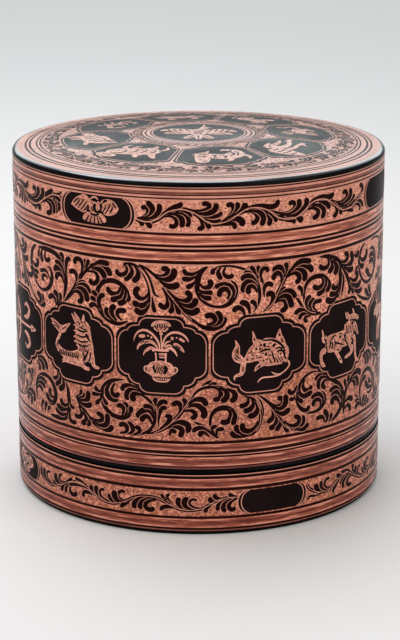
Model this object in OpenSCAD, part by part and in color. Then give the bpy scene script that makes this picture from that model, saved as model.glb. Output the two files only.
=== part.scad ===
// Round lacquered betel box: a deep slip-over lid, a drum with a decorated collar,
// and two trays that stand on the drum's mouth inside the lid.
// Every wall is a hoop of wound bamboo strip, every floor and top a coiled disc,
// and the hoops and discs are joined with a thin line of lacquer putty.
// Millimetres, +Z up, origin at the middle of the foot on the table.

/* [Lid] */
// Outside diameter of the lid, and of the collar that lies flush below it
lid_diameter = 200; // [120:1:260]
// Thickness of the lid wall
lid_wall_thickness = 2.6; // [1.8:0.1:4]
// Height of the rim that finishes the lid's mouth
mouth_rim_height = 1.5; // [1.2:0.1:4]
// Radius that rounds the mouth rim's outer edge
mouth_rim_round = 0.7; // [0.3:0.1:1]
// Height of the hoop round the lid's top edge
top_hoop_height = 3.4; // [3:0.1:6]
// Radius that rounds the top hoop's outer edge
top_hoop_round = 2.4; // [1:0.1:2.8]
// Width of the top hoop, seen from above
top_hoop_width = 4.5; // [3.4:0.1:8]
// Width of the ledge inside the top hoop
top_ledge_width = 2; // [1:0.1:4]
// Depth of that ledge below the top hoop's upper edge
top_rebate = 1.9; // [1.4:0.1:2.2]
// Rise of the domed top panel above the top hoop
dome_rise = 6; // [3:0.1:10]
// Thickness of the top panel at its middle
top_panel_thickness = 3; // [2.2:0.1:4.5]

/* [Base] */
// Height of the drum from the table to its lip
drum_height = 112.4; // [80:0.1:140]
// Thickness of the drum's and the trays' walls
drum_wall_thickness = 2.5; // [1.8:0.1:4]
// Thickness of the drum's floor
drum_floor_thickness = 4; // [2:0.1:7]
// Height of the collar's upper edge above the table
collar_height = 33.2; // [29:0.1:45]
// Radius that rounds the collar's lower edge
collar_round = 0.8; // [0.3:0.1:0.9]
// Height of the bead that the lid comes down on
shoulder_bead_height = 2.4; // [1.6:0.1:3]
// How far the bead stands in from the collar's face
shoulder_bead_inset = 0.4; // [0.2:0.1:0.6]
// Height of the ring that the box stands on
foot_height = 2; // [1.4:0.1:5]
// How far the foot stands in from the collar's face
foot_inset = 1.2; // [0.6:0.1:3]
// Radius that rounds the foot's outer edge
foot_round = 0.6; // [0.2:0.1:1.2]
// How far the foot reaches in under the drum's floor
foot_ledge = 6; // [3:0.5:15]

/* [Trays] */
// Height of the lower tray's wall and lip
lower_tray_height = 38; // [28:0.5:50]
// Height of the upper tray's wall and lip
upper_tray_height = 30; // [22:0.5:45]
// Depth of the spigot that drops into the mouth below
spigot_depth = 9; // [5:0.5:12]
// Thickness of the spigot
spigot_thickness = 2; // [1.4:0.1:3]
// How far the spigot reaches up inside the tray's wall
spigot_lap = 6; // [3:0.5:10]
// Thickness of the tray floors
tray_floor_thickness = 2.4; // [1.6:0.1:4]
// Height of the rounded lips on the drum and the trays
lip_height = 3; // [2.2:0.1:5]

/* [Fits] */
// Gap between the lid wall and the drum inside it
lid_slip = 0.6; // [0.4:0.05:1.5]
// Gap between a spigot and the mouth it drops into
tray_slip = 0.4; // [0.3:0.05:0.8]
// Gap under a piece that rests on another
seat_gap = 0.3; // [0.1:0.05:0.5]
// Free height between the upper tray and the lid's top
headroom = 2; // [1:0.1:5]
// Putty between two pieces that are glued together
glue_line = 0.05; // [0.02:0.01:0.1]

/* [Engraved lines] */
// Width of an engraved line
line_width = 0.9; // [0.5:0.1:1.2]
// Depth of an engraved line
line_depth = 0.2; // [0.1:0.05:0.4]
// Height of the ribbon under the lid's top hoop
top_ribbon = 5.5; // [4:0.1:8]
// Height of the leafy frieze on the lid
lid_frieze = 17.9; // [12:0.1:24]
// Height of each ribbon of the pair above the main field
field_ribbon = 6.1; // [4:0.1:8]
// Distance between the two lines that part that pair
ribbon_gap = 2.2; // [1.6:0.1:3]
// Height of the lower ribbon above the lid's mouth rim
mouth_ribbon = 5.9; // [4:0.1:8]
// Distance between the lines that part the lid's two lower ribbons
mouth_ribbon_gap = 1.6; // [1.5:0.1:3]
// Height of the ribbon under the main field
sill_ribbon = 5.8; // [4:0.1:8]
// Height of the plain edge along the collar's top
collar_edge = 1.6; // [1:0.1:2.5]
// Height of the ribbon under that edge
collar_ribbon = 6.4; // [4:0.1:7.5]
// Height of the leafy frieze on the collar
collar_frieze = 15.4; // [12:0.1:16]
// Height of the plain hem along the collar's foot
collar_hem = 1.5; // [1.4:0.1:2.5]

/* [Hidden] */
$fn = 180;

// Radii, from the outside in
lid_r = lid_diameter / 2;
lid_bore_r = lid_r - lid_wall_thickness;
drum_r = lid_bore_r - lid_slip;
drum_bore_r = drum_r - drum_wall_thickness;
collar_bore_r = drum_r + glue_line;
bead_r = lid_r - shoulder_bead_inset;
foot_r = lid_r - foot_inset;
foot_bore_r = drum_bore_r - foot_ledge;
spigot_r = drum_bore_r - tray_slip;
spigot_bore_r = spigot_r - spigot_thickness;
spigot_lap_r = drum_bore_r - glue_line;
panel_seat_r = lid_r - top_hoop_width;
panel_r = panel_seat_r - glue_line;

// Heights, from the table up
on_foot_z = foot_height + glue_line;
bead_z = collar_height + glue_line;
bead_top_z = bead_z + shoulder_bead_height;
lower_tray_z = drum_height + seat_gap;
upper_tray_z = lower_tray_z + lower_tray_height + seat_gap;
stack_top_z = upper_tray_z + upper_tray_height;
mouth_z = bead_top_z + seat_gap;
lid_wall_z = mouth_z + mouth_rim_height + glue_line;
lid_wall_top_z = stack_top_z + headroom;
top_hoop_z = lid_wall_top_z + glue_line;
top_hoop_top_z = top_hoop_z + top_hoop_height;
ledge_z = top_hoop_top_z - top_rebate;
panel_z = ledge_z + glue_line;

// The dome is a cap of a sphere that meets the top hoop's upper edge
dome_sphere_r = (panel_r * panel_r + dome_rise * dome_rise) / (2 * dome_rise);
dome_centre_z = top_hoop_top_z + dome_rise - dome_sphere_r;

// Engraved lines on the lid: down from its top edge, then up from its mouth rim
frieze_top_z = lid_wall_top_z - top_ribbon;
frieze_low_z = frieze_top_z - lid_frieze;
pair_upper_z = frieze_low_z - field_ribbon;
pair_lower_z = pair_upper_z - ribbon_gap;
field_top_z = pair_lower_z - field_ribbon;
gap_lower_z = lid_wall_z + mouth_ribbon;
gap_upper_z = gap_lower_z + mouth_ribbon_gap;
field_low_z = gap_upper_z + sill_ribbon;
lid_lines = [
    frieze_top_z, frieze_low_z, pair_upper_z, pair_lower_z, field_top_z,
    field_low_z, gap_upper_z, gap_lower_z
];

// Engraved lines on the collar: down from its upper edge, and one up from its foot
collar_edge_z = collar_height - collar_edge;
collar_frieze_top_z = collar_edge_z - collar_ribbon;
collar_frieze_low_z = collar_frieze_top_z - collar_frieze;
collar_hem_z = on_foot_z + collar_hem;
collar_lines = [collar_edge_z, collar_frieze_top_z, collar_frieze_low_z, collar_hem_z];

copper = "#B5694A";
black_lacquer = "#17120F";
red_lacquer = "#A3301F";
maroon = "#5A1F1A";

// Section of a plain hoop
module hoop_section(r_in, r_out, z_low, z_high) {
    translate([r_in, z_low]) square([r_out - r_in, z_high - z_low]);
}

// Section of a hoop whose upper outer edge is rounded
module top_rounded_section(r_in, r_out, z_low, z_high, edge) {
    hoop_section(r_in, r_out - edge, z_low, z_high);
    hoop_section(r_in, r_out, z_low, z_high - edge);
    intersection() {
        hoop_section(r_in, r_out, z_low, z_high);
        translate([r_out - edge, z_high - edge]) circle(r = edge);
    }
}

// Section of a hoop whose lower outer edge is rounded
module low_rounded_section(r_in, r_out, z_low, z_high, edge) {
    hoop_section(r_in, r_out - edge, z_low, z_high);
    hoop_section(r_in, r_out, z_low + edge, z_high);
    intersection() {
        hoop_section(r_in, r_out, z_low, z_high);
        translate([r_out - edge, z_low + edge]) circle(r = edge);
    }
}

// Grooves of engraved lines in a face of radius r_out
module line_sections(r_out, lines) {
    for (z = lines)
        translate([r_out - line_depth, z - line_width / 2])
            square([2 * line_depth, line_width]);
}

// Plain hoop of wound bamboo
module hoop(r_in, r_out, z_low, z_high) {
    rotate_extrude() hoop_section(r_in, r_out, z_low, z_high);
}

// Lip with a half-round upper edge, as wide as the wall that carries it
module lip(r_in, r_out, z_low, z_high) {
    edge = (r_out - r_in) / 2;
    rotate_extrude() {
        hoop_section(r_in, r_out, z_low, z_high - edge);
        translate([r_in + edge, z_high - edge]) circle(r = edge);
    }
}

// Flat coiled disc
module disc(r, z_low, thickness) {
    translate([0, 0, z_low]) cylinder(r = r, h = thickness);
}

module lid_wall() {
    color(copper) rotate_extrude() difference() {
        hoop_section(lid_bore_r, lid_r, lid_wall_z, lid_wall_top_z);
        line_sections(lid_r, lid_lines);
    }
}

module lid_mouth_rim() {
    color(maroon) rotate_extrude()
        low_rounded_section(
            lid_bore_r, lid_r, mouth_z, mouth_z + mouth_rim_height, mouth_rim_round
        );
}

module lid_top_hoop() {
    color(black_lacquer) rotate_extrude() {
        top_rounded_section(panel_seat_r, lid_r, top_hoop_z, top_hoop_top_z, top_hoop_round);
        hoop_section(panel_seat_r - top_ledge_width, panel_seat_r, top_hoop_z, ledge_z);
    }
}

// Domed shell: the sphere's cap, less the same cap moved down by the shell's thickness,
// with a flat margin underneath where it lies on the top hoop's ledge
module lid_top_panel() {
    color(copper) difference() {
        intersection() {
            translate([0, 0, dome_centre_z]) sphere(r = dome_sphere_r);
            disc(panel_r, panel_z, top_rebate + dome_rise);
        }
        translate([0, 0, dome_centre_z - top_panel_thickness]) sphere(r = dome_sphere_r);
    }
}

module drum_wall() {
    color(red_lacquer) hoop(drum_bore_r, drum_r, on_foot_z, drum_height - lip_height - glue_line);
}

module drum_lip() {
    color(black_lacquer) lip(drum_bore_r, drum_r, drum_height - lip_height, drum_height);
}

module drum_floor() {
    color(red_lacquer) disc(drum_bore_r - glue_line, on_foot_z, drum_floor_thickness);
}

module collar() {
    color(copper) rotate_extrude() difference() {
        low_rounded_section(collar_bore_r, lid_r, on_foot_z, collar_height, collar_round);
        line_sections(lid_r, collar_lines);
    }
}

module shoulder_bead() {
    edge = shoulder_bead_height / 2;
    color(black_lacquer) rotate_extrude() {
        hoop_section(collar_bore_r, bead_r - edge, bead_z, bead_top_z);
        translate([bead_r - edge, bead_z + edge]) circle(r = edge);
    }
}

module foot_ring() {
    color(black_lacquer) rotate_extrude()
        low_rounded_section(foot_bore_r, foot_r, 0, foot_height, foot_round);
}

module tray_wall(z, height) {
    color(red_lacquer) hoop(drum_bore_r, drum_r, z, z + height - lip_height - glue_line);
}

module tray_lip(z, height) {
    color(black_lacquer) lip(drum_bore_r, drum_r, z + height - lip_height, z + height);
}

// Ring that drops into the mouth below, and swells above z to meet the tray's own wall
module tray_spigot(z) {
    color(black_lacquer) {
        rotate_extrude() {
            hoop_section(spigot_bore_r, spigot_r, z - spigot_depth, z);
            hoop_section(spigot_bore_r, spigot_lap_r, z, z + spigot_lap);
        }
    }
}

module tray_floor(z) {
    color(red_lacquer) disc(spigot_bore_r - glue_line, z - spigot_depth, tray_floor_thickness);
}

lid_wall();
lid_mouth_rim();
lid_top_hoop();
lid_top_panel();
drum_wall();
drum_lip();
drum_floor();
collar();
shoulder_bead();
foot_ring();
tray_wall(lower_tray_z, lower_tray_height);  // lower_tray_wall
tray_lip(lower_tray_z, lower_tray_height);  // lower_tray_lip
tray_spigot(lower_tray_z);  // lower_tray_spigot
tray_floor(lower_tray_z);  // lower_tray_floor
tray_wall(upper_tray_z, upper_tray_height);  // upper_tray_wall
tray_lip(upper_tray_z, upper_tray_height);  // upper_tray_lip
tray_spigot(upper_tray_z);  // upper_tray_spigot
tray_floor(upper_tray_z);  // upper_tray_floor
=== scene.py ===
"""Round lacquered box: turned hoops and discs dressed with engraved scrollwork, cartouches and beasts."""

import math

import bmesh
import bpy
import numpy as np
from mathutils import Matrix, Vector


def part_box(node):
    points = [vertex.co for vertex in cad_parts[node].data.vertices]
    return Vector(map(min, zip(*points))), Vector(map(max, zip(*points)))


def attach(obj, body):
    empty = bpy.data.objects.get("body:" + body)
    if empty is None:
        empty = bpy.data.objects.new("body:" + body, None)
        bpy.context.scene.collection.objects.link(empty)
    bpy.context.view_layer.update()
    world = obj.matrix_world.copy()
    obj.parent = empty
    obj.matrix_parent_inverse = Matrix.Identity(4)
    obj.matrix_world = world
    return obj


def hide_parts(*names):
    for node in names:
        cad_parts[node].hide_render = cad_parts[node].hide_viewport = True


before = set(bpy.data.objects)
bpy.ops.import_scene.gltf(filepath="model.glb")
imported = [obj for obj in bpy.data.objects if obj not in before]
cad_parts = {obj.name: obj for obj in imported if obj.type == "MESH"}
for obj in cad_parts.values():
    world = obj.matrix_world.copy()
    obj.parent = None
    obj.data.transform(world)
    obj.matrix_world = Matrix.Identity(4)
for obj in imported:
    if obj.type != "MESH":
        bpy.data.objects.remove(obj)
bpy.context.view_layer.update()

MM = 0.001
LID_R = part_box("lid_wall")[1][0] / MM
COLLAR_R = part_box("collar")[1][0] / MM
GIRTH = 2.0 * math.pi * LID_R


# Ornament paths: u runs round the wall in mm from the front, z up from the table in mm
SPAN_STEPS = 14
LEAF_STATIONS = np.array([
    0.0, 0.1, 0.22, 0.34, 0.46, 0.57, 0.67, 0.76, 0.84, 0.9, 0.945, 0.975, 0.993, 1.0])
LEAF_GROWN, LEAF_ROOT, LEAF_END = 0.65, 0.4, 0.995
VINE_STATIONS, VINE_LEAST = np.linspace(0.0, 1.0, 44), 0.08
STEM_STATIONS = np.linspace(0.0, 1.0, 121)
LIMB_STATIONS = 0.5 - 0.5 * np.cos(np.linspace(0.0, math.pi, 20))
LIMB_ENDS, LIMB_TIP, LIMB_LEAST = 9.0, 0.02, 0.12


def smooth_path(points, stations):
    """A Catmull-Rom curve through the points, read off at the given shares of its length."""
    pts = np.asarray(points, float)
    ends = np.vstack([2.0 * pts[0] - pts[1], pts, 2.0 * pts[-1] - pts[-2]])
    t = np.linspace(0.0, len(pts) - 1.0, SPAN_STEPS * (len(pts) - 1) + 1)
    i = np.minimum(t.astype(int), len(pts) - 2)
    f = (t - i)[:, None]
    a, b, c, d = ends[i], ends[i + 1], ends[i + 2], ends[i + 3]
    bend = (2.0 * a - 5.0 * b + 4.0 * c - d) * f + (3.0 * b - a - 3.0 * c + d) * f * f
    curve = 0.5 * (2.0 * b + (c - a + bend) * f)
    run = np.concatenate([[0.0], np.cumsum(np.hypot(*np.diff(curve[:, :2], axis=0).T))])
    at = np.asarray(stations) * run[-1]
    return np.stack([np.interp(at, run, column) for column in curve.T], axis=1), run[-1]


def leaf(row):
    """A comma: the half-width swells smoothly along two thirds of the path and ends in a round head."""
    half = row[0]
    path, length = smooth_path(np.reshape(row[1:], (-1, 2)), LEAF_STATIONS)
    grow = np.clip(LEAF_STATIONS / LEAF_GROWN, 0.0, 1.0)
    body = LEAF_ROOT + (1.0 - LEAF_ROOT) * grow * grow * (3.0 - 2.0 * grow)
    head = np.clip((LEAF_STATIONS - 1.0 + half / length) / (half / length), 0.0, LEAF_END)
    return path, half * body * np.sqrt(1.0 - head * head)


def vine(row):
    """A swelling stem through points u, z, half-width: the half-width runs smoothly point to point."""
    path, _ = smooth_path(np.reshape(row, (-1, 3)), VINE_STATIONS)
    return path[:, :2], np.maximum(path[:, 2], VINE_LEAST)


def stem(row):
    """A running stem: an even half-width along the whole path."""
    path, _ = smooth_path(np.reshape(row[1:], (-1, 2)), STEM_STATIONS)
    return path, np.full(len(path), float(row[0]))


def limb(points):
    """A beast's limb or body: a half-width is given at each point, and a ninth of each end is rounded."""
    path, _ = smooth_path(points, LIMB_STATIONS)
    edge = np.clip(np.minimum(LIMB_STATIONS, 1.0 - LIMB_STATIONS) * LIMB_ENDS, LIMB_TIP, 1.0)
    return path[:, :2], np.maximum(path[:, 2], LIMB_LEAST) * np.sqrt(edge * (2.0 - edge))


# Twelve cartouches run round the lid; each pair carries the same scrolls above and below
CELLS = 12
SEEN_EDGES = [-146.5, -94.5, -43.7, 5.6, 59.0, 110.0]
FAR_EDGES = np.linspace(SEEN_EDGES[-1], GIRTH + SEEN_EDGES[0], CELLS + 2 - len(SEEN_EDGES))
CELL_EDGES = np.concatenate([SEEN_EDGES, FAR_EDGES[1:]])


def cell_place(cell):
    """Distance round the wall of a place given in cells, with the cells repeating round the girth."""
    turn = np.floor(cell / CELLS)
    return np.interp(cell - turn * CELLS, np.arange(CELLS + 1), CELL_EDGES) + turn * GIRTH


def to_pair(stroke, pair):
    """The same stroke over another pair of cartouches: each u as a place in cells, two on per pair."""
    path, half = stroke
    cell = np.interp(path[:, 0], CELL_EDGES, np.arange(CELLS + 1))
    return np.stack([cell_place(cell + 2 * pair), path[:, 1]], axis=-1), half


# The drawn rows are in tenths of a mm: a leaf or vein is a half-width and then points u, z, root first,
# and a vine is points u, z, half-width
PER_MM = 10.0


def in_mm(rows):
    """Drawn rows as arrays in mm: every number over ten."""
    return [np.array(row) / PER_MM for row in rows]


UPPER_VINES = in_mm([
    (46, 1432, 3.5, 26, 1420, 11, 5, 1396, 15, -5, 1360, 16, -8, 1326, 14, -3, 1296, 11.5, 12, 1267, 10,
     36, 1244, 8.5, 65, 1230, 7.5, 95, 1224, 7.5, 125, 1226, 9.5, 152, 1238, 12.5, 173, 1260, 14,
     186, 1288, 12.5, 190, 1316, 10, 182, 1340, 8, 162, 1358, 4),
    (86, 1429, 3.5, 120, 1434, 5.5, 160, 1433, 6, 200, 1424, 6.5, 240, 1408, 7, 272, 1383, 8, 296, 1346, 9,
     309, 1305, 9.5, 312, 1265, 9, 304, 1228, 7.5, 286, 1198, 4.5, 276, 1186, 2),
    (330, 1186, 3, 360, 1203, 9, 386, 1232, 11, 406, 1266, 12, 426, 1304, 12, 448, 1344, 11.5,
     474, 1380, 10, 506, 1406, 8, 540, 1420, 5),
    (337, 1260, 3, 334, 1300, 6, 328, 1340, 6, 316, 1380, 5, 302, 1415, 3),
    (675, 1135, 4, 634, 1142, 8, 602, 1158, 9, 579, 1186, 8.5, 566, 1220, 7.5, 564, 1256, 8,
     573, 1290, 9.5, 594, 1317, 11.5, 624, 1329, 13, 656, 1331, 13.5, 686, 1325, 13, 712, 1308, 11,
     729, 1284, 8, 736, 1264, 4),
    (-386, 1433, 4.5, -350, 1433, 8, -318, 1424, 8, -290, 1398, 6, -268, 1360, 6, -253, 1318, 6.5,
     -250, 1276, 9, -254, 1236, 11, -269, 1200, 9, -288, 1176, 5),
    (-306, 1430, 3, -274, 1404, 6, -249, 1366, 6.5, -234, 1324, 7, -226, 1294, 7.5, -216, 1279, 6,
     -199, 1274, 4.5),
    (-300, 1433, 4, -266, 1416, 7, -234, 1392, 8, -204, 1366, 8.5, -176, 1344, 8, -148, 1334, 6),
    (-180, 1329, 3, -160, 1306, 9, -134, 1272, 12, -106, 1236, 13, -78, 1200, 11, -48, 1168, 8.5,
     -16, 1144, 7.5, 20, 1124, 8, 60, 1114, 6),
    (680, 1129, 3, 636, 1132, 7, 596, 1146, 8, 568, 1170, 8, 546, 1199, 8.5, 529, 1224, 8, 517, 1236, 4),
])
UPPER_VEINS = in_mm([
    (1.7, 346, 1193, 376, 1218, 398, 1250, 416, 1286, 434, 1322, 452, 1354),
    (1.7, -304, 1416, -276, 1386, -256, 1346, -243, 1300, -240, 1260, -242, 1226, -256, 1194, -276, 1170),
    (1.7, -172, 1318, -146, 1284, -118, 1248, -90, 1212, -62, 1180, -34, 1156),
    (1.7, 549, 1212, 571, 1177, 600, 1152, 640, 1138),
])
UPPER_LEAVES = in_mm([
    (10, 4, 1346, 24, 1326, 50, 1328, 62, 1348, 47, 1364), (10, -6, 1318, 26, 1298, 72, 1299),
    (9.5, 2, 1294, 30, 1274, 66, 1269),
    (9.5, 154, 1252, 177, 1286, 172, 1318, 140, 1339, 108, 1337, 80, 1325),
    (10.5, 144, 1262, 155, 1290, 140, 1315, 115, 1312, 104, 1290, 116, 1282),
    (8.5, 134, 1429, 124, 1402, 138, 1381, 162, 1378, 171, 1394), (9.5, 110, 1428, 97, 1402, 114, 1364),
    (9, 90, 1426, 72, 1412, 70, 1390), (9.5, 310, 1315, 290, 1366, 256, 1392, 226, 1393),
    (11, 306, 1310, 282, 1354, 248, 1378, 212, 1360),
    (11.5, 304, 1298, 282, 1334, 250, 1348, 228, 1326, 228, 1292),
    (10, 300, 1290, 280, 1320, 260, 1323, 249, 1303, 263, 1286), (9, 296, 1204, 284, 1234, 262, 1247),
    (11, 260, 1180, 253, 1216, 234, 1238, 206, 1240),
    (10, 236, 1164, 228, 1194, 210, 1214, 186, 1212, 178, 1192), (8, 309, 1364, 286, 1396, 262, 1428),
    (8, 316, 1366, 306, 1396, 302, 1429), (8, 320, 1340, 316, 1386, 330, 1410, 350, 1407, 352, 1388),
    (10, 346, 1196, 376, 1226, 386, 1260, 368, 1280, 349, 1264),
    (9, 334, 1272, 336, 1310, 354, 1329, 385, 1318), (10.5, 444, 1350, 452, 1390, 458, 1429),
    (10.5, 439, 1348, 438, 1388, 416, 1410, 378, 1394),
    (10, 430, 1328, 429, 1362, 410, 1380, 390, 1368, 384, 1344),
    (10.5, 468, 1366, 506, 1408, 550, 1426, 606, 1416),
    (11.5, 474, 1372, 526, 1396, 572, 1399, 604, 1380, 610, 1356),
    (11.5, 468, 1362, 516, 1380, 552, 1372, 570, 1348, 560, 1318),
    (10, 462, 1354, 502, 1369, 530, 1354, 532, 1328, 508, 1318), (7.5, 414, 1266, 434, 1292, 456, 1297),
    (11, 412, 1254, 444, 1278, 482, 1276, 505, 1252, 504, 1236),
    (11.5, 400, 1234, 434, 1256, 468, 1250, 485, 1216, 491, 1189),
    (10, 394, 1224, 426, 1237, 454, 1227, 458, 1198, 442, 1181, 426, 1188),
    (8, 549, 1240, 549, 1274, 524, 1297), (11, 696, 1324, 710, 1290, 700, 1260, 674, 1242, 645, 1235),
    (10, 716, 1312, 732, 1284, 730, 1260, 709, 1239),
    (9.5, 664, 1330, 685, 1312, 687, 1286, 666, 1270, 638, 1271, 622, 1289),
    (9, 590, 1168, 578, 1198, 586, 1222, 609, 1234), (9, 616, 1156, 602, 1182, 609, 1204, 633, 1215),
    (8.5, 650, 1148, 628, 1166, 626, 1186, 644, 1198, 682, 1198),
    (9, 606, 1142, 568, 1162, 536, 1169, 507, 1152), (8, 596, 1136, 564, 1146, 546, 1140, 537, 1119),
    (7.5, 610, 1128, 582, 1130, 570, 1114, 588, 1099),
    (9, -386, 1430, -368, 1416, -370, 1389, -394, 1372, -418, 1377, -424, 1398),
    (10, -358, 1428, -340, 1406, -346, 1376, -382, 1345),
    (11, -326, 1422, -308, 1398, -310, 1368, -337, 1339),
    (10.5, -250, 1292, -272, 1262, -302, 1258, -322, 1282, -316, 1306, -297, 1304),
    (12, -249, 1260, -274, 1228, -304, 1219, -338, 1238),
    (11.5, -249, 1226, -272, 1195, -300, 1183, -326, 1204), (8, -236, 1270, -230, 1226, -221, 1189),
    (10.5, -250, 1404, -214, 1382, -178, 1377, -154, 1396, -160, 1418, -189, 1417),
    (12, -224, 1382, -184, 1362, -146, 1367, -125, 1390, -122, 1423),
    (12, -198, 1358, -160, 1332, -124, 1329, -96, 1346),
    (10.5, -154, 1306, -116, 1268, -78, 1252, -47, 1266, -45, 1292, -69, 1301),
    (11.5, -120, 1264, -86, 1236, -50, 1226, -20, 1244, -16, 1272),
    (12, -100, 1236, -66, 1205, -30, 1195, 6, 1216),
    (10, -182, 1320, -159, 1280, -153, 1240, -175, 1217, -201, 1240),
    (10, -156, 1286, -130, 1244, -132, 1212, -149, 1191), (9.5, -128, 1258, -106, 1220, -97, 1184),
    (8.5, 4, 1412, -30, 1394, -60, 1396, -77, 1419), (9.5, -14, 1382, -46, 1369, -84, 1370),
    (9.5, -18, 1356, -36, 1337, -63, 1324),
    (11, -34, 1164, 0, 1133, 40, 1114, 80, 1115, 116, 1132, 134, 1172),
    (10.5, 50, 1126, 90, 1134, 110, 1158, 106, 1180, 86, 1200),
    (10.5, 40, 1134, 70, 1138, 84, 1160, 62, 1182, 30, 1174),
])
LOWER_VINES = in_mm([
    (-36, 744, 5, -17, 772, 7, 8, 792, 8, 40, 802, 9, 80, 804, 9, 120, 798, 8, 158, 782, 5),
    (106, 527, 3, 84, 550, 7, 67, 578, 8, 59, 610, 8, 62, 642, 9, 77, 670, 11.5, 102, 687, 14,
     130, 691, 15, 160, 683, 13, 184, 664, 11, 198, 638, 8, 202, 620, 4),
    (234, 746, 4, 276, 732, 8, 304, 696, 10, 320, 654, 11.5, 322, 612, 11.5, 309, 572, 10, 280, 542, 8,
     240, 529, 6, 206, 527, 3),
    (304, 736, 2.5, 324, 706, 5, 336, 666, 5, 339, 630, 2.5),
    (312, 744, 4, 344, 720, 8, 376, 686, 10, 404, 648, 11.5, 430, 608, 11.5, 458, 572, 10, 492, 544, 9,
     534, 530, 8, 574, 529, 6, 602, 538, 3),
    (664, 823, 3, 624, 825, 6, 588, 814, 7.5, 560, 792, 9, 542, 760, 10, 533, 726, 10, 534, 694, 8,
     548, 662, 5),
    (546, 632, 3, 580, 615, 5.5, 616, 607, 7.5, 654, 608, 10, 688, 622, 13, 710, 648, 14, 712, 676, 12.5,
     698, 698, 9.5, 674, 709, 5),
    (-350, 755, 3, -310, 753, 6, -274, 738, 8, -244, 712, 9, -227, 678, 10, -222, 640, 11.5, -226, 602, 12,
     -244, 570, 10.5, -276, 548, 8, -314, 534, 6, -354, 528, 3),
    (-206, 584, 2.5, -205, 620, 5, -207, 660, 5.5, -214, 696, 5, -224, 728, 3),
    (-270, 542, 3, -220, 556, 8, -176, 579, 11, -134, 614, 12, -98, 656, 12, -68, 698, 11, -46, 736, 8,
     -32, 762, 4),
    (94, 529, 3, 66, 556, 8, 38, 582, 9, 8, 604, 8.5, -22, 617, 4.5),
])
LOWER_VEINS = in_mm([
    (1.7, -230, 550, -184, 574, -140, 609, -104, 650, -74, 692, -50, 730, -29, 768),
    (1.7, 298, 716, 316, 674, 323, 630, 317, 588, 296, 554),
    (1.7, 344, 708, 376, 672, 404, 634, 430, 596, 460, 560, 494, 536),
    (1.7, -234, 716, -217, 676, -213, 636, -219, 598, -238, 566),
])
LOWER_LEAVES = in_mm([
    (10, 70, 804, 106, 788, 112, 756, 98, 739, 72, 736), (11.5, 106, 802, 140, 778, 142, 746, 114, 723),
    (11.5, 140, 792, 180, 772, 184, 740, 160, 723), (6, 16, 812, 44, 827, 68, 836),
    (6, 50, 816, 74, 823, 94, 820), (11, -52, 714, -16, 738, 22, 736, 42, 704),
    (12, -66, 694, -26, 709, 10, 698, 30, 666, 19, 637),
    (9.5, -78, 674, -44, 680, -20, 668, -19, 646, -42, 638),
    (11, 130, 692, 162, 668, 160, 630, 138, 613, 111, 620), (10, 166, 682, 186, 650, 175, 596),
    (8.5, 70, 564, 70, 588, 97, 592), (8.5, 92, 546, 96, 574, 132, 578),
    (9, 64, 556, 26, 582, -6, 584, -34, 566), (8.5, 54, 540, 30, 560, 6, 558, 16, 538),
    (10, 252, 740, 255, 716, 232, 696, 208, 701), (11, 274, 730, 282, 700, 260, 671, 228, 670),
    (11.5, 296, 712, 306, 672, 286, 643, 253, 638),
    (10.5, 310, 606, 286, 570, 252, 558, 225, 575, 229, 604), (11, 286, 556, 240, 536, 204, 550, 192, 598),
    (10, 230, 529, 184, 538, 165, 563), (10, 364, 706, 404, 676, 439, 680, 446, 706, 413, 723),
    (11, 388, 678, 428, 660, 460, 682, 461, 732), (11, 404, 652, 444, 630, 489, 651),
    (10, 452, 588, 494, 558, 534, 560, 544, 590, 512, 608), (10, 484, 554, 534, 539, 570, 562, 566, 602),
    (9.5, 520, 534, 570, 526, 606, 552), (10, 356, 704, 388, 664, 393, 622, 357, 592),
    (11, 394, 658, 415, 614, 404, 574, 368, 560), (10, 418, 624, 435, 584, 407, 542),
    (9, 446, 584, 462, 550, 480, 526), (9.5, 576, 796, 564, 760, 582, 734, 610, 734, 618, 756),
    (10.5, 548, 772, 544, 730, 570, 704, 626, 719), (9.5, 530, 732, 534, 696, 567, 673),
    (9, 520, 704, 536, 662, 570, 630, 598, 628, 603, 651), (10.5, 698, 628, 698, 670, 664, 699, 618, 684),
    (9.5, 680, 622, 682, 658, 657, 671, 633, 658, 641, 638), (8.5, 529, 772, 512, 740, 490, 734, 478, 758),
    (8, 520, 716, 504, 699, 482, 706), (9, 710, 792, 674, 800, 642, 777),
    (10, 724, 780, 686, 784, 665, 756, 675, 724), (9.5, 732, 764, 706, 762, 695, 740, 716, 720),
    (9, -226, 656, -248, 689, -287, 690), (11.5, -228, 626, -252, 668, -290, 665, -322, 626),
    (10, -238, 598, -258, 634, -284, 631, -298, 605), (9, -206, 660, -200, 708, -180, 723, -158, 713),
    (8.5, -202, 628, -196, 670, -180, 690, -162, 683), (9, -216, 696, -224, 720, -214, 740),
    (9.5, -196, 576, -158, 610, -144, 642, -171, 646), (10, -102, 648, -90, 696, -108, 720, -137, 704),
    (9, -82, 676, -65, 718, -81, 743), (11.5, -176, 574, -122, 606, -80, 614, -50, 594, -61, 560),
    (10.5, -150, 576, -112, 590, -84, 574, -96, 534), (8.5, -150, 540, -138, 570, -113, 558),
    (9, -336, 532, -306, 550, -314, 572, -332, 570), (9.5, -376, 530, -346, 546, -346, 574, -372, 595),
    (9.5, -416, 530, -380, 542, -376, 570, -398, 582, -420, 568),
])

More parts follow.
